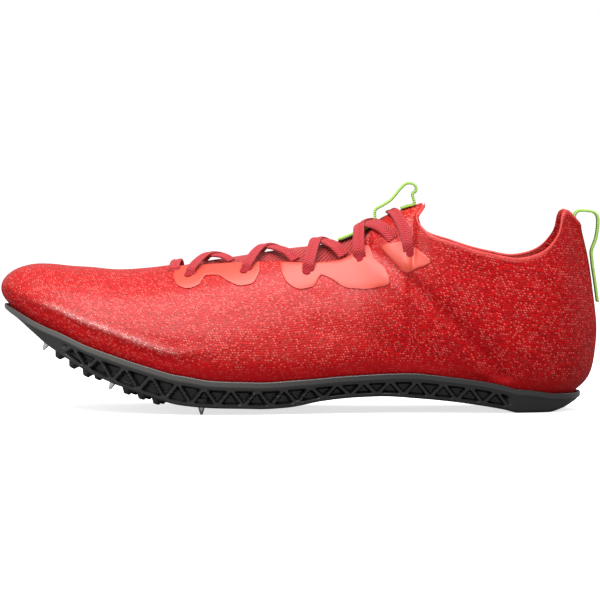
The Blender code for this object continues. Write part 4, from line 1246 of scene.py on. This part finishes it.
def band_points(centres, normals, width, thickness, profile):
    """Rings of a band along a route, and their places on the cloth; both sizes are one number or a row."""
    widths, heights = (np.broadcast_to(size, len(centres)) for size in (width, thickness))
    loop = list(profile) + [profile[0]]
    rings, places = [], []
    run_length = 0.0
    for k, centre in enumerate(centres):
        ahead, behind = centres[min(k + 1, len(centres) - 1)], centres[max(k - 1, 0)]
        run = (ahead - behind) / np.linalg.norm(ahead - behind)
        side = np.cross(run, normals[k])
        side /= np.linalg.norm(side)
        up = np.cross(side, run)
        if k:
            run_length += np.linalg.norm(centre - centres[k - 1])
        rings.append([centre + side * widths[k] * a + up * heights[k] * b for a, b in loop])
        places.append([(run_length, a * widths[k]) for a, b in loop])
    return np.array(rings), np.array(places)


def band_object(name, centres, normals, width, thickness, profile):
    points, uv = band_points(centres, normals, width, thickness, profile)
    obj = grid_object(name, points, uv)
    close_ends(obj)
    return obj


def surface_route(stops, steps):
    """Centres and normals of a lace over a row of stops, each a side, section, profile share and height."""
    centres, normals = [], []
    for (side, *start), (_, *end) in zip(stops, stops[1:]):
        start, end = np.array(start), np.array(end)
        for share in np.linspace(0.0, 1.0, steps, endpoint=False):
            section, t, height = start + (end - start) * share
            turn = turn_on(side, section)
            t = min(t, 1.0)
            centres.append(skin_point(turn, t, height))
            normals.append(wall_normal(turn, t))
    return centres, normals


def ease_route(centres, normals, rounds):
    """Evens out a route without moving its ends."""
    points, ups = np.array(centres), np.array(normals)
    for _ in range(rounds):
        points[1:-1] = points[1:-1] * 0.5 + (points[2:] + points[:-2]) * 0.25
        ups[1:-1] = ups[1:-1] * 0.5 + (ups[2:] + ups[:-2]) * 0.25
    ups /= np.linalg.norm(ups, axis=1, keepdims=True)
    return points, ups


# Steps between two stops of a lace before the ridge and after it, and the rounds that even it out
LACE_STEPS = 12
FAR_STEPS = 14
EASE_ROUNDS = 6


def lace_half(side, eyelet, depth, ridge, height):
    """From inside its eyelet up to the ridge."""
    start = film_t(turn_on(side, eyelet), depth * FILM_DROP)
    rise = [0.0, 0.07, 0.16, 1.0]
    lift = [-0.0016, -0.0002, height * 0.95, height]
    return [
        (side, eyelet + (ridge - eyelet) * share, start + (1.0 - start) * share, up)
        for share, up in zip(rise, lift)
    ]


def build_laces(look):
    material = lace_material(look)
    height = FILM_SEAT * 0.35 + FILM + LACE_THICKNESS * 0.62
    for number, crossing in enumerate(CROSSINGS, 1):
        for layer, side in enumerate((MEDIAL, LATERAL)):
            eyelet, ridge, entry = (section_of(station) for station in crossing[:3])
            over = height + layer * LACE_THICKNESS * 0.9
            stops = lace_half(side, eyelet, crossing.depth, ridge, over)
            end_t = film_t(turn_on(-side, entry), crossing.tuck * FILM_DROP)
            centres, normals = surface_route(stops, LACE_STEPS)
            far = [
                (-side, ridge, 1.0, over),
                (-side, ridge + (entry - ridge) * 0.7, 1.0 + (end_t - 1.0) * 0.7, height * 0.8),
                (-side, entry, end_t, -0.0006),
            ]
            more, more_normals = surface_route(far, FAR_STEPS)
            points, ups = ease_route(centres + more, normals + more_normals, EASE_ROUNDS)
            share = np.linspace(0.0, 1.0, len(points))
            grow = LACE_WIDTH * (0.92 + 0.10 * (number - 1))
            width = grow * (1.0 - 0.12 * np.exp(-((share / 0.10) ** 2)))
            thick = LACE_THICKNESS * (1.0 + 0.25 * np.exp(-((share / 0.08) ** 2)))
            obj = band_object(f"lace_{number}_{SIDE_NAMES[side]}", points, ups, width, thick, LACE_PROFILE)
            dress(obj, material, (f"lace_crossing_{number}",))
    front = section_of(FRONT_BAR_STATION)
    top_ridge = section_of(TOP_BAR_STATION)
    for name, eyelet, depth, ridge in (
        ("lace_bar_front", front, FRONT_BAR_DEPTH, front),
        ("lace_bar_top", TOP_EYELET_SECTION, TOP_EYELET_DEPTH, top_ridge),
    ):
        centres, normals = [], []
        for side in (LATERAL, MEDIAL):
            half, half_normals = surface_route(lace_half(side, eyelet, depth, ridge, height), FAR_STEPS)
            centres += half if side == LATERAL else half[::-1]
            normals += half_normals if side == LATERAL else half_normals[::-1]
        points, ups = ease_route(centres, normals, EASE_ROUNDS)
        obj = band_object(name + "_woven", points, ups, LACE_WIDTH * 1.05, LACE_THICKNESS, LACE_PROFILE)
        dress(obj, material, (name,))


# How far the hole shows above the end of its lace, as a share of the way to the ridge, and its thickness
EYELET_RISE = 0.055
EYELET_THICKNESS = 0.0002


def build_eyelets(look):
    """Punched holes that the laces come out of: a dark disc on the film, cupped under the lace, painted as
    the shade inside the hole.
    """
    material, _, shader = shader_material("eyelet shade", 0.9)
    # The disc's dark colour is painted shade inside the hole
    shader.inputs["Base Color"].default_value = opaque(look.lace_deep)
    places = [
        (section_of(crossing.eyelet), crossing.depth, LACE_WIDTH * (0.36 + 0.02 * number))
        for number, crossing in enumerate(CROSSINGS)
    ]
    places.append((TOP_EYELET_SECTION, TOP_EYELET_DEPTH, LACE_WIDTH * 0.40))
    for side in (LATERAL, MEDIAL):
        for number, (section, depth_share, radius) in enumerate(places, 1):
            turn = turn_on(side, section)
            t = film_t(turn, depth_share * FILM_DROP)
            t += (1.0 - t) * EYELET_RISE
            centre = skin_point(turn, t, FILM_SEAT * 0.35 + FILM * 1.6)
            bm = bmesh.new()
            bmesh.ops.create_circle(bm, cap_ends=True, segments=28, radius=radius)
            bmesh.ops.inset_region(bm, faces=bm.faces[:], thickness=radius * 0.18, depth=-0.00035)
            stand_on(bm, bm.verts, centre, wall_normal(turn, t))
            obj = mesh_object(f"eyelet_{SIDE_NAMES[side]}_{number}", bm)
            thick = obj.modifiers.new("wall", "SOLIDIFY")
            thick.thickness = EYELET_THICKNESS
            thick.offset = 1.0
            dress(obj, material, ())


def webbing_material(look):
    material, tree, shader = shader_material("lime webbing", 0.6)
    weave = place_group(tree, weave_group(), Strand=0.0010, Slope=1.0)
    place = cloth_place(tree)
    split = tree.nodes.new("ShaderNodeSeparateXYZ")
    tree.links.new(place, split.inputs[0])
    across_web = math_node(tree, "ABSOLUTE", split.outputs[1])
    binding = remap(tree, across_web, WEBBING_WIDTH * 0.36, WEBBING_WIDTH * 0.40)
    tone = mix_color(tree, weave.outputs["Shade"], opaque(look.web_deep), opaque(look.web))
    edged = mix_color(tree, binding, tone, opaque(look.web_edge))
    tree.links.new(edged, shader.inputs["Base Color"])
    bump(tree, shader, weave.outputs["Height"], 0.00015, 0.8)
    return material


def ribbon_normals(path):
    path = np.array(path)
    runs = np.gradient(path, axis=0)
    runs /= np.linalg.norm(runs, axis=1, keepdims=True)
    return np.stack((-runs[:, 2], np.zeros(len(path)), runs[:, 0]), axis=1)


def build_loops(look):
    material = webbing_material(look)
    for name, path in (("tongue_loop", tongue_loop_path(8)), ("heel_loop", heel_loop_path(8))):
        ups = ribbon_normals(path)
        obj = band_object(name + "_webbing", np.array(path), ups, WEBBING_WIDTH, WEBBING, WEB_PROFILE)
        dress(obj, material, (name,))


# How closely the webbing lies on the tongue
CLOTH_GAP = 0.0001


def tongue_loop_path(steps):
    """Edge view of the webbing along the tongue's middle and its finger loop."""
    over_lace = FILM_SEAT + FILM + LACE_CLEARANCE + LACE_THICKNESS + GAP
    path = []
    for station, share in WEBBING_SEAT:
        section = section_of(station)
        low = CLOTH_GAP + tongue_offset(section, 1.0)
        lift = low + (over_lace - low) * share
        path.append(skin_point(section, 1.0, lift + WEBBING / 2) * (1, 0, 1))
    anchor = path[-1]
    for row in TONGUE_LOOP:
        path.append(anchor + np.array((row.run, 0.0, row.rise)) * TONGUE_LOOP_LENGTH)
    for station in TAB_SEAT:
        path.append(skin_point(section_of(station), 1.0, CLOTH_GAP + WEBBING / 2) * (1, 0, 1))
    return smooth_path(path, steps)


def heel_loop_path(steps):
    """Edge view of the webbing from inside the heel tab, over its edge and down the heel."""
    ride = GAP * 2.6 + WEBBING / 2
    edge = wall_point(float(LAST), 1.0)
    inner_turn = LAST - 0.9
    path = []
    for drop in (HEEL_LOOP_INSIDE, HEEL_LOOP_INSIDE / 2, 0.0):
        t = heel_t(inner_turn, edge[2] - drop)
        path.append(skin_point(inner_turn, t, -(WALL + ride)) * (1, 0, 1))
    rim = wall_point(inner_turn, 1.0) * (1, 0, 1)
    path += [
        rim + np.array((-WALL / 2, 0.0, 3.0 * ride)),
        edge + np.array((HEEL_LOOP_STAND * 0.45, 0.0, HEEL_LOOP_RISE)),
        edge + np.array((HEEL_LOOP_STAND * 0.85, 0.0, HEEL_LOOP_RISE * 0.8)),
        edge + np.array((HEEL_LOOP_STAND, 0.0, HEEL_LOOP_RISE * 0.2)),
        edge + np.array((HEEL_LOOP_STAND * 0.9, 0.0, HEEL_LOOP_RISE * -1.2)),
    ]
    for share, ease in ((0.36, 0.9), (0.46, 0.35), (0.56, 0.1), (0.78, 0.0), (1.0, 0.0)):
        t = heel_t(float(LAST), edge[2] - HEEL_LOOP_OUTSIDE * share)
        path.append(skin_point(float(LAST), t, ride + WEBBING * ease))
    return smooth_path(path, steps)


def plate_material(look):
    material, tree, shader = shader_material("moulded plate", 0.4)
    rim = attribute(tree, "rim")
    pocket = attribute(tree, "pocket")
    front = attribute(tree, "front")
    grain = fine_noise(tree, 2600.0, 2.0)
    body = mix_color(tree, front, opaque(look.plate), opaque(look.plate_front))
    dark = mix_color(tree, times(tree, pocket, 0.85), body, opaque(look.plate_pocket))
    rim_share = times(tree, rim, plus(tree, 0.22, times(tree, front, 0.78)))
    rimmed = mix_color(tree, rim_share, dark, opaque(look.plate_rim))
    tree.links.new(rimmed, shader.inputs["Base Color"])
    tree.links.new(remap(tree, grain, 0.3, 0.7, 0.32, 0.48), shader.inputs["Roughness"])
    bump(tree, shader, grain, 0.00004, 0.4)
    return material


# How softly a window of the plate's side starts, its border above and below, and its fade at both ends
WINDOW_FADE = 0.0006
WINDOW_BORDER = 0.0012
WINDOW_END = 0.02


def web_mask(station, share, height):
    """1 in the windows between the webs of the plate's side, 0 on the webs and along both edges."""
    phase = ((station - POCKET_FIRST) * SHOE_LENGTH / POCKET_PITCH - 0.25) % 1.0
    zigzag = abs(1.0 - 2.0 * phase)
    slope = 2.0 * height / POCKET_PITCH
    gap = abs(share - zigzag) * height / math.sqrt(1.0 + slope * slope)
    inside = smoothstep((gap - POCKET_WEB * 0.42) / WINDOW_FADE)
    top = smoothstep((1.0 - share) * height / WINDOW_BORDER - 0.4)
    bottom = smoothstep(share * height / WINDOW_BORDER - 0.4)
    first = smoothstep((station - POCKET_FIRST + WINDOW_END / 2) / WINDOW_END)
    last = smoothstep((POCKET_LAST + WINDOW_END / 2 - station) / WINDOW_END)
    return inside * top * bottom * first * last


# The plate's grid: its sections, closer along the webbed side, and the rows down that side, across the
# underside and across the bed
PLATE_STOPS = (0.0, 2.0, 27.0, LAST)
PLATE_COUNTS = (30, 500, 30)
SIDE_ROWS = 18
UNDER_ROWS = 11
BED_ROWS = 7
# Radius of the rim's corners
RIM_ROUND = 0.00035


def plate_half(turn):
    """One side's points from the bed over the rim and down the webbed wall, with rim and window marks."""
    inner = foot_point(turn, -RIM_GAP, 0.0)
    local = depth(inner[0])
    drop = min(RIM_DOWN, 0.45 * local)
    edge = min(PLATE_EDGE, 0.30 * local)
    tuck = min(SIDE_TAPER + edge, SIDE_TAPER * 2)
    out = -RIM_GAP - RIM_WIDTH
    points = [
        (inner, 0, 0),
        (foot_point(turn, -RIM_GAP, RIM_UP - RIM_ROUND), 1, 0),
        (foot_point(turn, -RIM_GAP - RIM_ROUND, RIM_UP), 1, 0),
        (foot_point(turn, out + RIM_ROUND, RIM_UP), 1, 0),
        (foot_point(turn, out, RIM_UP - RIM_ROUND), 1, 0),
        (foot_point(turn, out, -drop + RIM_ROUND), 1, 0),
        (foot_point(turn, out + RIM_ROUND, -drop), 1, 0),
        (foot_point(turn, out + SIDE_STEP, -drop - 0.05 * local), 0, 0),
    ]
    high = foot_point(turn, out + SIDE_STEP, -drop - 0.08 * local)
    low = foot_point(turn, SIDE_TAPER + out, 0.0)
    low[2] = underside(low[0]) + edge
    inward = -outward(turn)
    station = station_at(high[0])
    tall = high[2] - low[2]
    for row in range(SIDE_ROWS + 1):
        share = 1.0 - row / SIDE_ROWS
        point = low + (high - low) * share
        mask = web_mask(station, share, tall)
        points.append((point + inward * mask * min(POCKET_DEPTH, 0.5 * local), 0, mask))
    bottom = foot_point(turn, tuck, 0.0)
    bottom[2] = underside(bottom[0])
    for angle in (30, 60):
        a = math.radians(angle)
        corner = foot_point(turn, SIDE_TAPER + out + (tuck - SIDE_TAPER - out) * (1 - math.cos(a)), 0.0)
        corner[2] = underside(corner[0]) + edge * (1 - math.sin(a))
        points.append((corner, 0, 0))
    points.append((bottom, 0, 0))
    return points


def build_plate(look):
    rings = []
    for section in spaced_sections(PLATE_STOPS, PLATE_COUNTS):
        ends = section in (0.0, float(LAST))
        turns = [section if ends else turn_on(side, section) for side in (LATERAL, MEDIAL)]
        lateral, medial = (plate_half(turn) for turn in turns)
        below = spread_between(lateral[-1][0], medial[-1][0], underside, UNDER_ROWS)
        above = spread_between(medial[0][0], lateral[0][0], bed, BED_ROWS)
        ring = lateral + [(point, 0, 0) for point in below]
        ring += medial[::-1] + [(point, 0, 0) for point in above]
        rings.append(ring + ring[:1])
    points = np.array([[point for point, rim, window in ring] for ring in rings])
    rims = np.array([[rim for point, rim, window in ring] for ring in rings], float)
    windows = np.array([[window for point, rim, window in ring] for ring in rings], float)
    stations = stations_of(points)
    marks = {"rim": rims, "pocket": windows, "front": 1.0 - smooth_mask(stations, 0.05, 0.75)}
    obj = grid_object("spike_plate_moulding", points, None, marks, sharp_angle=38)
    dress(obj, plate_material(look), ("spike_plate",))


def spread_between(one, two, height, count):
    """Points between two others, set to the height that a function gives at their X."""
    points = []
    for k in range(1, count + 1):
        point = one + (two - one) * k / (count + 1)
        point[2] = height(point[0])
        points.append(point)
    return points


def add_stud(bm, place, axis, radii, height, root, sides):
    """A tapered stud that stands on a place and goes as deep as its root below it."""
    made = bmesh.ops.create_cone(
        bm, cap_ends=True, segments=sides, radius1=radii[0], radius2=radii[1], depth=height + root
    )
    stand_on(bm, made["verts"], place, axis, Matrix.Translation((0.0, 0.0, (height - root) / 2)))


def build_tread(look):
    """Teeth of the forefoot and the bosses round the spikes."""
    lug_radii = (LUG_SIZE, LUG_SIZE * 0.35)
    boss_radii = (SOCKET_RADIUS * 0.9, SOCKET_RADIUS * 1.02)
    bm = bmesh.new()
    for station in LUG_STATIONS:
        for side in (LATERAL, MEDIAL):
            turn = turn_on(side, foot_section_of(station))
            for inset in LUG_INSETS:
                centre = foot_point(turn, inset, 0.0)
                centre[2] = underside(centre[0])
                down = (underside_slope(centre[0]), 0.0, -1.0)
                add_stud(bm, centre, down, lug_radii, LUG_HEIGHT, LUG_ROOT, 4)
    for spike in SPIKES:
        tip, axis = spike_axis(spike)
        base = tip + axis * (SPIKE_LENGTH + GAP)
        add_stud(bm, base, axis, boss_radii, SOCKET_HEIGHT, SPIKE_FLANGE * 1.6, 32)
    bmesh.ops.bevel(
        bm, geom=bm.edges[:], offset=0.00025, segments=2, profile=0.5, affect="EDGES", material=-1,
        clamp_overlap=True,
    )
    obj = mesh_object("tread_teeth", bm, 40)
    material, _, shader = shader_material("tread rubber", 0.5)
    shader.inputs["Base Color"].default_value = opaque(look.plate)
    dress(obj, material, ())


def build_spikes(look):
    material, _, shader = shader_material("turned steel", 0.22, 1.0)
    shader.inputs["Base Color"].default_value = opaque(look.steel)
    flange = SPIKE_LENGTH - SPIKE_FLANGE
    chamfer = 0.00015
    profile = (
        (0.0, 0.0), (SPIKE_TIP_RADIUS * 0.8, 0.0), (SPIKE_TIP_RADIUS, chamfer),
        (SPIKE_ROOT_RADIUS * 0.82, flange * 0.75), (SPIKE_ROOT_RADIUS, flange),
        (SPIKE_FLANGE_RADIUS * 0.96, flange), (SPIKE_FLANGE_RADIUS, flange + chamfer),
        (SPIKE_FLANGE_RADIUS, SPIKE_LENGTH), (0.0, SPIKE_LENGTH),
    )
    for spike in SPIKES:
        tip, axis = spike_axis(spike)
        bm = bmesh.new()
        verts = [bm.verts.new((radius, 0.0, height)) for radius, height in profile]
        edges = [bm.edges.new(pair) for pair in zip(verts, verts[1:])]
        bmesh.ops.spin(
            bm, geom=verts + edges, cent=(0, 0, 0), axis=(0, 0, 1), angle=2 * math.pi, steps=32,
            use_merge=True,
        )
        bmesh.ops.remove_doubles(bm, verts=bm.verts, dist=1e-6)
        stand_on(bm, bm.verts, tip, axis)
        bmesh.ops.recalc_face_normals(bm, faces=bm.faces)
        obj = mesh_object(f"spike_{spike.name}_turned", bm, 35)
        dress(obj, material, (f"spike_{spike.name}",))


# The insole's grid: rows along it, and points across its top and its bottom
INSOLE_ROWS = 150
INSOLE_TOP = 13
INSOLE_BOTTOM = 7


def build_insole(look):
    inset = WALL + INSOLE_CLEARANCE
    base = UPPER_SEAT + WALL + INSOLE_SEAT
    rings = []
    for section in np.linspace(0.0, LAST, INSOLE_ROWS):
        ends = section in (0.0, float(LAST))
        halves = []
        for side in (LATERAL, MEDIAL):
            turn = section if ends else turn_on(side, section)
            halves.append([
                foot_point(turn, inset, base),
                foot_point(turn, inset, base + INSOLE * 0.7),
                foot_point(turn, inset + 0.0006, base + INSOLE * 0.95),
                foot_point(turn, inset + 0.0014, base + INSOLE),
            ])
        lateral, medial = halves
        top = spread_between(lateral[-1], medial[-1], lambda x: bed(x) + base + INSOLE, INSOLE_TOP)
        bottom = spread_between(medial[0], lateral[0], lambda x: bed(x) + base, INSOLE_BOTTOM)
        ring = lateral + top + medial[::-1] + bottom
        ring.append(ring[0])
        rings.append(ring)
    points = np.array(rings)
    uv = np.stack((points[:, :, 0], points[:, :, 1]), axis=2)
    obj = grid_object("insole_liner", points, uv, sharp_angle=50)
    material, tree, shader = shader_material("liner cloth", 0.85)
    stitches = place_group(tree, knit_group(), Stitch=0.0009, Slant=0.0)
    tone = mix_color(tree, stitches.outputs["Tone"], opaque(look.liner), opaque(look.liner_light))
    tree.links.new(tone, shader.inputs["Base Color"])
    bump(tree, shader, stitches.outputs["Height"], 0.0002, 0.7)
    dress(obj, material, ("insole",))


# Stage


# The camera: its distance, how far it looks down in degrees, and the picture's width in pixels
CAMERA_DISTANCE = 1.9
CAMERA_ELEVATION = 2.5
PICTURE = 600
FLOOR_DROP = 0.0001


def area_light(name, place, aim, size, power):
    data = bpy.data.lights.new(name, "AREA")
    data.shape = "RECTANGLE"
    data.size, data.size_y = size
    data.energy = power
    obj = bpy.data.objects.new(name, data)
    obj.location = place
    obj.rotation_mode = "QUATERNION"
    obj.rotation_quaternion = (Vector(aim) - Vector(place)).to_track_quat("-Z", "Y")
    bpy.context.scene.collection.objects.link(obj)


def build_stage(stage):
    """The floor, the world, the lights and the camera."""
    bm = bmesh.new()
    bmesh.ops.create_grid(bm, x_segments=1, y_segments=1, size=15.0)
    floor = mesh_object("floor", bm)
    floor.location = (0.0, 0.0, -FLOOR_DROP)
    material, tree, shader = shader_material("pale floor", 0.9)
    seen = tree.nodes.new("ShaderNodeLightPath")
    tone = mix_color(tree, seen.outputs["Is Camera Ray"], opaque(stage.bounce), opaque(stage.floor))
    tree.links.new(tone, shader.inputs["Base Color"])
    glow = mix_color(tree, seen.outputs["Is Camera Ray"], (0.0, 0.0, 0.0, 1.0), (1.0, 1.0, 1.0, 1.0))
    tree.links.new(glow, shader.inputs["Emission Color"])
    shader.inputs["Emission Strength"].default_value = stage.glow
    beneath = tree.nodes.new("ShaderNodeNewGeometry")
    clear = tree.nodes.new("ShaderNodeBsdfTransparent")
    either = tree.nodes.new("ShaderNodeMixShader")
    tree.links.new(beneath.outputs["Backfacing"], either.inputs[0])
    tree.links.new(shader.outputs[0], either.inputs[1])
    tree.links.new(clear.outputs[0], either.inputs[2])
    output = next(node for node in tree.nodes if node.type == "OUTPUT_MATERIAL")
    tree.links.new(either.outputs[0], output.inputs["Surface"])
    floor.data.materials.append(material)
    world = bpy.data.worlds.new("studio")
    world.use_nodes = True
    tree = world.node_tree
    background = tree.nodes["Background"]
    background.inputs["Color"].default_value = (1.0, 1.0, 1.0, 1.0)
    seen = tree.nodes.new("ShaderNodeLightPath")
    strength = tree.nodes.new("ShaderNodeMapRange")
    strength.inputs["To Min"].default_value = stage.ambient
    strength.inputs["To Max"].default_value = 1.0
    tree.links.new(seen.outputs["Is Camera Ray"], strength.inputs["Value"])
    tree.links.new(strength.outputs[0], background.inputs["Strength"])
    bpy.context.scene.world = world
    middle = (along(0.5), 0.0, 0.05)
    area_light("key light", (-0.30, -0.75, 0.95), middle, (0.9, 0.5), stage.key)
    area_light("top light", (-0.05, -0.12, 1.15), middle, (1.3, 0.6), stage.top)
    area_light("toe light", (-0.95, -0.55, 0.45), middle, (0.35, 0.7), stage.toe)
    area_light("heel light", (0.75, 0.5, 0.6), middle, (0.4, 0.6), stage.toe * 0.6)
    camera_data = bpy.data.cameras.new("camera")
    camera_data.lens = camera_data.sensor_width * CAMERA_DISTANCE / (PICTURE * PIXEL)
    camera_data.clip_end = 40.0
    camera = bpy.data.objects.new("camera", camera_data)
    elevation = math.radians(CAMERA_ELEVATION)
    back = Vector((0.0, -math.cos(elevation), math.sin(elevation)))
    middle_pixel = PICTURE / 2
    target = Vector(((middle_pixel - HEEL_REST_PIXEL) * PIXEL, 0.0, (GROUND_PIXEL - middle_pixel) * PIXEL))
    camera.location = target + back * CAMERA_DISTANCE
    camera.rotation_mode = "QUATERNION"
    camera.rotation_quaternion = (-back).to_track_quat("-Z", "Y")
    bpy.context.scene.collection.objects.link(camera)
    bpy.context.scene.camera = camera
    bpy.context.scene.view_settings.view_transform = "Standard"


# Settings, operators and panel


def color_property(name, description, default):
    return bpy.props.FloatVectorProperty(
        name=name, description=description, default=default, subtype="COLOR", size=3, min=0.0, max=1.0
    )


def amount_property(name, description, default, unit="NONE"):
    return bpy.props.FloatProperty(name=name, description=description, default=default, unit=unit, min=0.0)


class ShoeLook(bpy.types.PropertyGroup):
    """Colours of the shoe's finishes."""

    knit: color_property("Knit", "Red of the upper", (0.60, 0.001, 0.003))
    # Darker red of stitches chosen at random, and the colour of the painted shade along the low band above
    # the plate
    knit_dark_and_low_shade: color_property("Deep knit", "Red of the upper's shaded stitches", (0.38, 0.000, 0.002))
    knit_veil: color_property("Veiled knit", "Red under the forefoot's clear layer", (0.62, 0.018, 0.014))
    fleck: color_property("Fleck", "Light stitches", (0.88, 0.26, 0.22))
    # Colour of the painted highlight along the toe's ridge
    painted_ridge_highlight: color_property("Glint", "Light threads along the toe's ridge", (0.95, 0.80, 0.76))
    pinhole: color_property("Pinhole", "Shade inside the stitches", (0.14, 0.000, 0.002))
    rim: color_property("Collar rim", "Edge of the collar", (0.80, 0.10, 0.09))
    rib: color_property("Rib", "Tongue's ribs", (0.66, 0.050, 0.045))
    # Colour of the painted shade in the grooves of the tongue's ribs
    rib_groove_shade: color_property("Deep rib", "Grooves of the tongue", (0.32, 0.006, 0.010))
    film: color_property("Film", "Eyestay film", (0.66, 0.070, 0.038))
    film_edge: color_property("Film edge", "Edge of the eyestay film", (0.72, 0.06, 0.04))
    lace: color_property("Lace", "Woven lace", (0.66, 0.030, 0.038))
    lace_deep: color_property("Deep lace", "Shade of the lace's weave", (0.33, 0.004, 0.012))
    web: color_property("Webbing", "Pull loops", (0.28, 0.62, 0.08))
    web_deep: color_property("Deep webbing", "Shade of the loops' weave", (0.13, 0.36, 0.08))
    web_edge: color_property("Webbing edge", "Binding of the loops", (0.42, 0.78, 0.14))
    plate: color_property("Plate", "Plate at the heel", (0.008, 0.008, 0.010))
    plate_front: color_property("Plate front", "Plate at the toe", (0.024, 0.023, 0.023))
    plate_pocket: color_property("Plate windows", "Shade between the webs", (0.002, 0.002, 0.003))
    plate_rim: color_property("Plate rim", "Light line round the plate", (0.110, 0.106, 0.098))
    steel: color_property("Steel", "Spikes", (0.86, 0.86, 0.88))
    liner: color_property("Liner", "Insole's dark cloth", (0.035, 0.035, 0.04))
    liner_light: color_property("Liner light", "Insole's light threads", (0.07, 0.07, 0.075))


class ShoeStage(bpy.types.PropertyGroup):
    """Floor and lights."""

    floor: color_property("Floor", "Floor's colour", (0.95, 0.95, 0.95))
    bounce: color_property("Bounce", "What the floor gives back to the shoe", (0.30, 0.30, 0.30))
    ambient: amount_property("Ambient", "Strength of the even light", 0.36)
    key: amount_property("Key", "Power of the main light", 8.0, "POWER")
    top: amount_property("Top", "Power of the light above", 14.5, "POWER")
    glow: amount_property("Glow", "How pale the bare floor is", 0.72)
    toe: amount_property("Toe", "Power of the light by the toe", 2.5, "POWER")


class ShoeOperator:
    """What the shoe's operators share."""

    bl_options = {"REGISTER", "UNDO"}


class SHOE_OT_upper(ShoeOperator, bpy.types.Operator):
    """Build the knit upper"""

    bl_idname = "shoe.upper"
    bl_label = "Upper"

    def execute(self, context):
        build_upper(context.scene.shoe_look)
        return {"FINISHED"}


class SHOE_OT_tongue(ShoeOperator, bpy.types.Operator):
    """Build the ribbed tongue"""

    bl_idname = "shoe.tongue"
    bl_label = "Tongue"

    def execute(self, context):
        build_tongue(context.scene.shoe_look)
        return {"FINISHED"}


class SHOE_OT_eyestays(ShoeOperator, bpy.types.Operator):
    """Build the film overlays and their eyelets"""

    bl_idname = "shoe.eyestays"
    bl_label = "Eyestays"

    def execute(self, context):
        build_films(context.scene.shoe_look)
        build_eyelets(context.scene.shoe_look)
        return {"FINISHED"}


class SHOE_OT_laces(ShoeOperator, bpy.types.Operator):
    """Build the laces"""

    bl_idname = "shoe.laces"
    bl_label = "Laces"

    def execute(self, context):
        build_laces(context.scene.shoe_look)
        return {"FINISHED"}


class SHOE_OT_loops(ShoeOperator, bpy.types.Operator):
    """Build the webbing loops"""

    bl_idname = "shoe.loops"
    bl_label = "Pull loops"

    def execute(self, context):
        build_loops(context.scene.shoe_look)
        return {"FINISHED"}


class SHOE_OT_plate(ShoeOperator, bpy.types.Operator):
    """Build the spike plate and its tread"""

    bl_idname = "shoe.plate"
    bl_label = "Plate"

    def execute(self, context):
        build_plate(context.scene.shoe_look)
        build_tread(context.scene.shoe_look)
        return {"FINISHED"}


class SHOE_OT_spikes(ShoeOperator, bpy.types.Operator):
    """Build the steel spikes"""

    bl_idname = "shoe.spikes"
    bl_label = "Spikes"

    def execute(self, context):
        build_spikes(context.scene.shoe_look)
        return {"FINISHED"}


class SHOE_OT_insole(ShoeOperator, bpy.types.Operator):
    """Build the insole"""

    bl_idname = "shoe.insole"
    bl_label = "Insole"

    def execute(self, context):
        build_insole(context.scene.shoe_look)
        return {"FINISHED"}


class SHOE_OT_stage(ShoeOperator, bpy.types.Operator):
    """Build the floor, the lights and the camera"""

    bl_idname = "shoe.stage"
    bl_label = "Stage"

    def execute(self, context):
        build_stage(context.scene.shoe_stage)
        return {"FINISHED"}


OPERATORS = (
    SHOE_OT_upper,
    SHOE_OT_tongue,
    SHOE_OT_eyestays,
    SHOE_OT_laces,
    SHOE_OT_loops,
    SHOE_OT_plate,
    SHOE_OT_spikes,
    SHOE_OT_insole,
    SHOE_OT_stage,
)


class SHOE_PT_panel(bpy.types.Panel):
    """Lists the shoe's settings and operators"""

    bl_idname = "SHOE_PT_panel"
    bl_label = "Track spike shoe"
    bl_space_type = "VIEW_3D"
    bl_region_type = "UI"
    bl_category = "Shoe"

    def draw(self, context):
        layout = self.layout
        for operator in OPERATORS:
            layout.operator(operator.bl_idname)
        for settings in (context.scene.shoe_look, context.scene.shoe_stage):
            column = layout.column()
            for key in settings.__annotations__:
                column.prop(settings, key)


CLASSES = (ShoeLook, ShoeStage) + OPERATORS + (SHOE_PT_panel,)


def register():
    for one in CLASSES:
        bpy.utils.register_class(one)
    bpy.types.Scene.shoe_look = bpy.props.PointerProperty(type=ShoeLook)
    bpy.types.Scene.shoe_stage = bpy.props.PointerProperty(type=ShoeStage)


def unregister():
    del bpy.types.Scene.shoe_stage
    del bpy.types.Scene.shoe_look
    for one in reversed(CLASSES):
        bpy.utils.unregister_class(one)


def main():
    register()
    bpy.ops.shoe.upper()
    bpy.ops.shoe.tongue()
    bpy.ops.shoe.eyestays()
    bpy.ops.shoe.laces()
    bpy.ops.shoe.loops()
    bpy.ops.shoe.plate()
    bpy.ops.shoe.spikes()
    bpy.ops.shoe.insole()
    bpy.ops.shoe.stage()


if __name__ == "__main__":
    main()
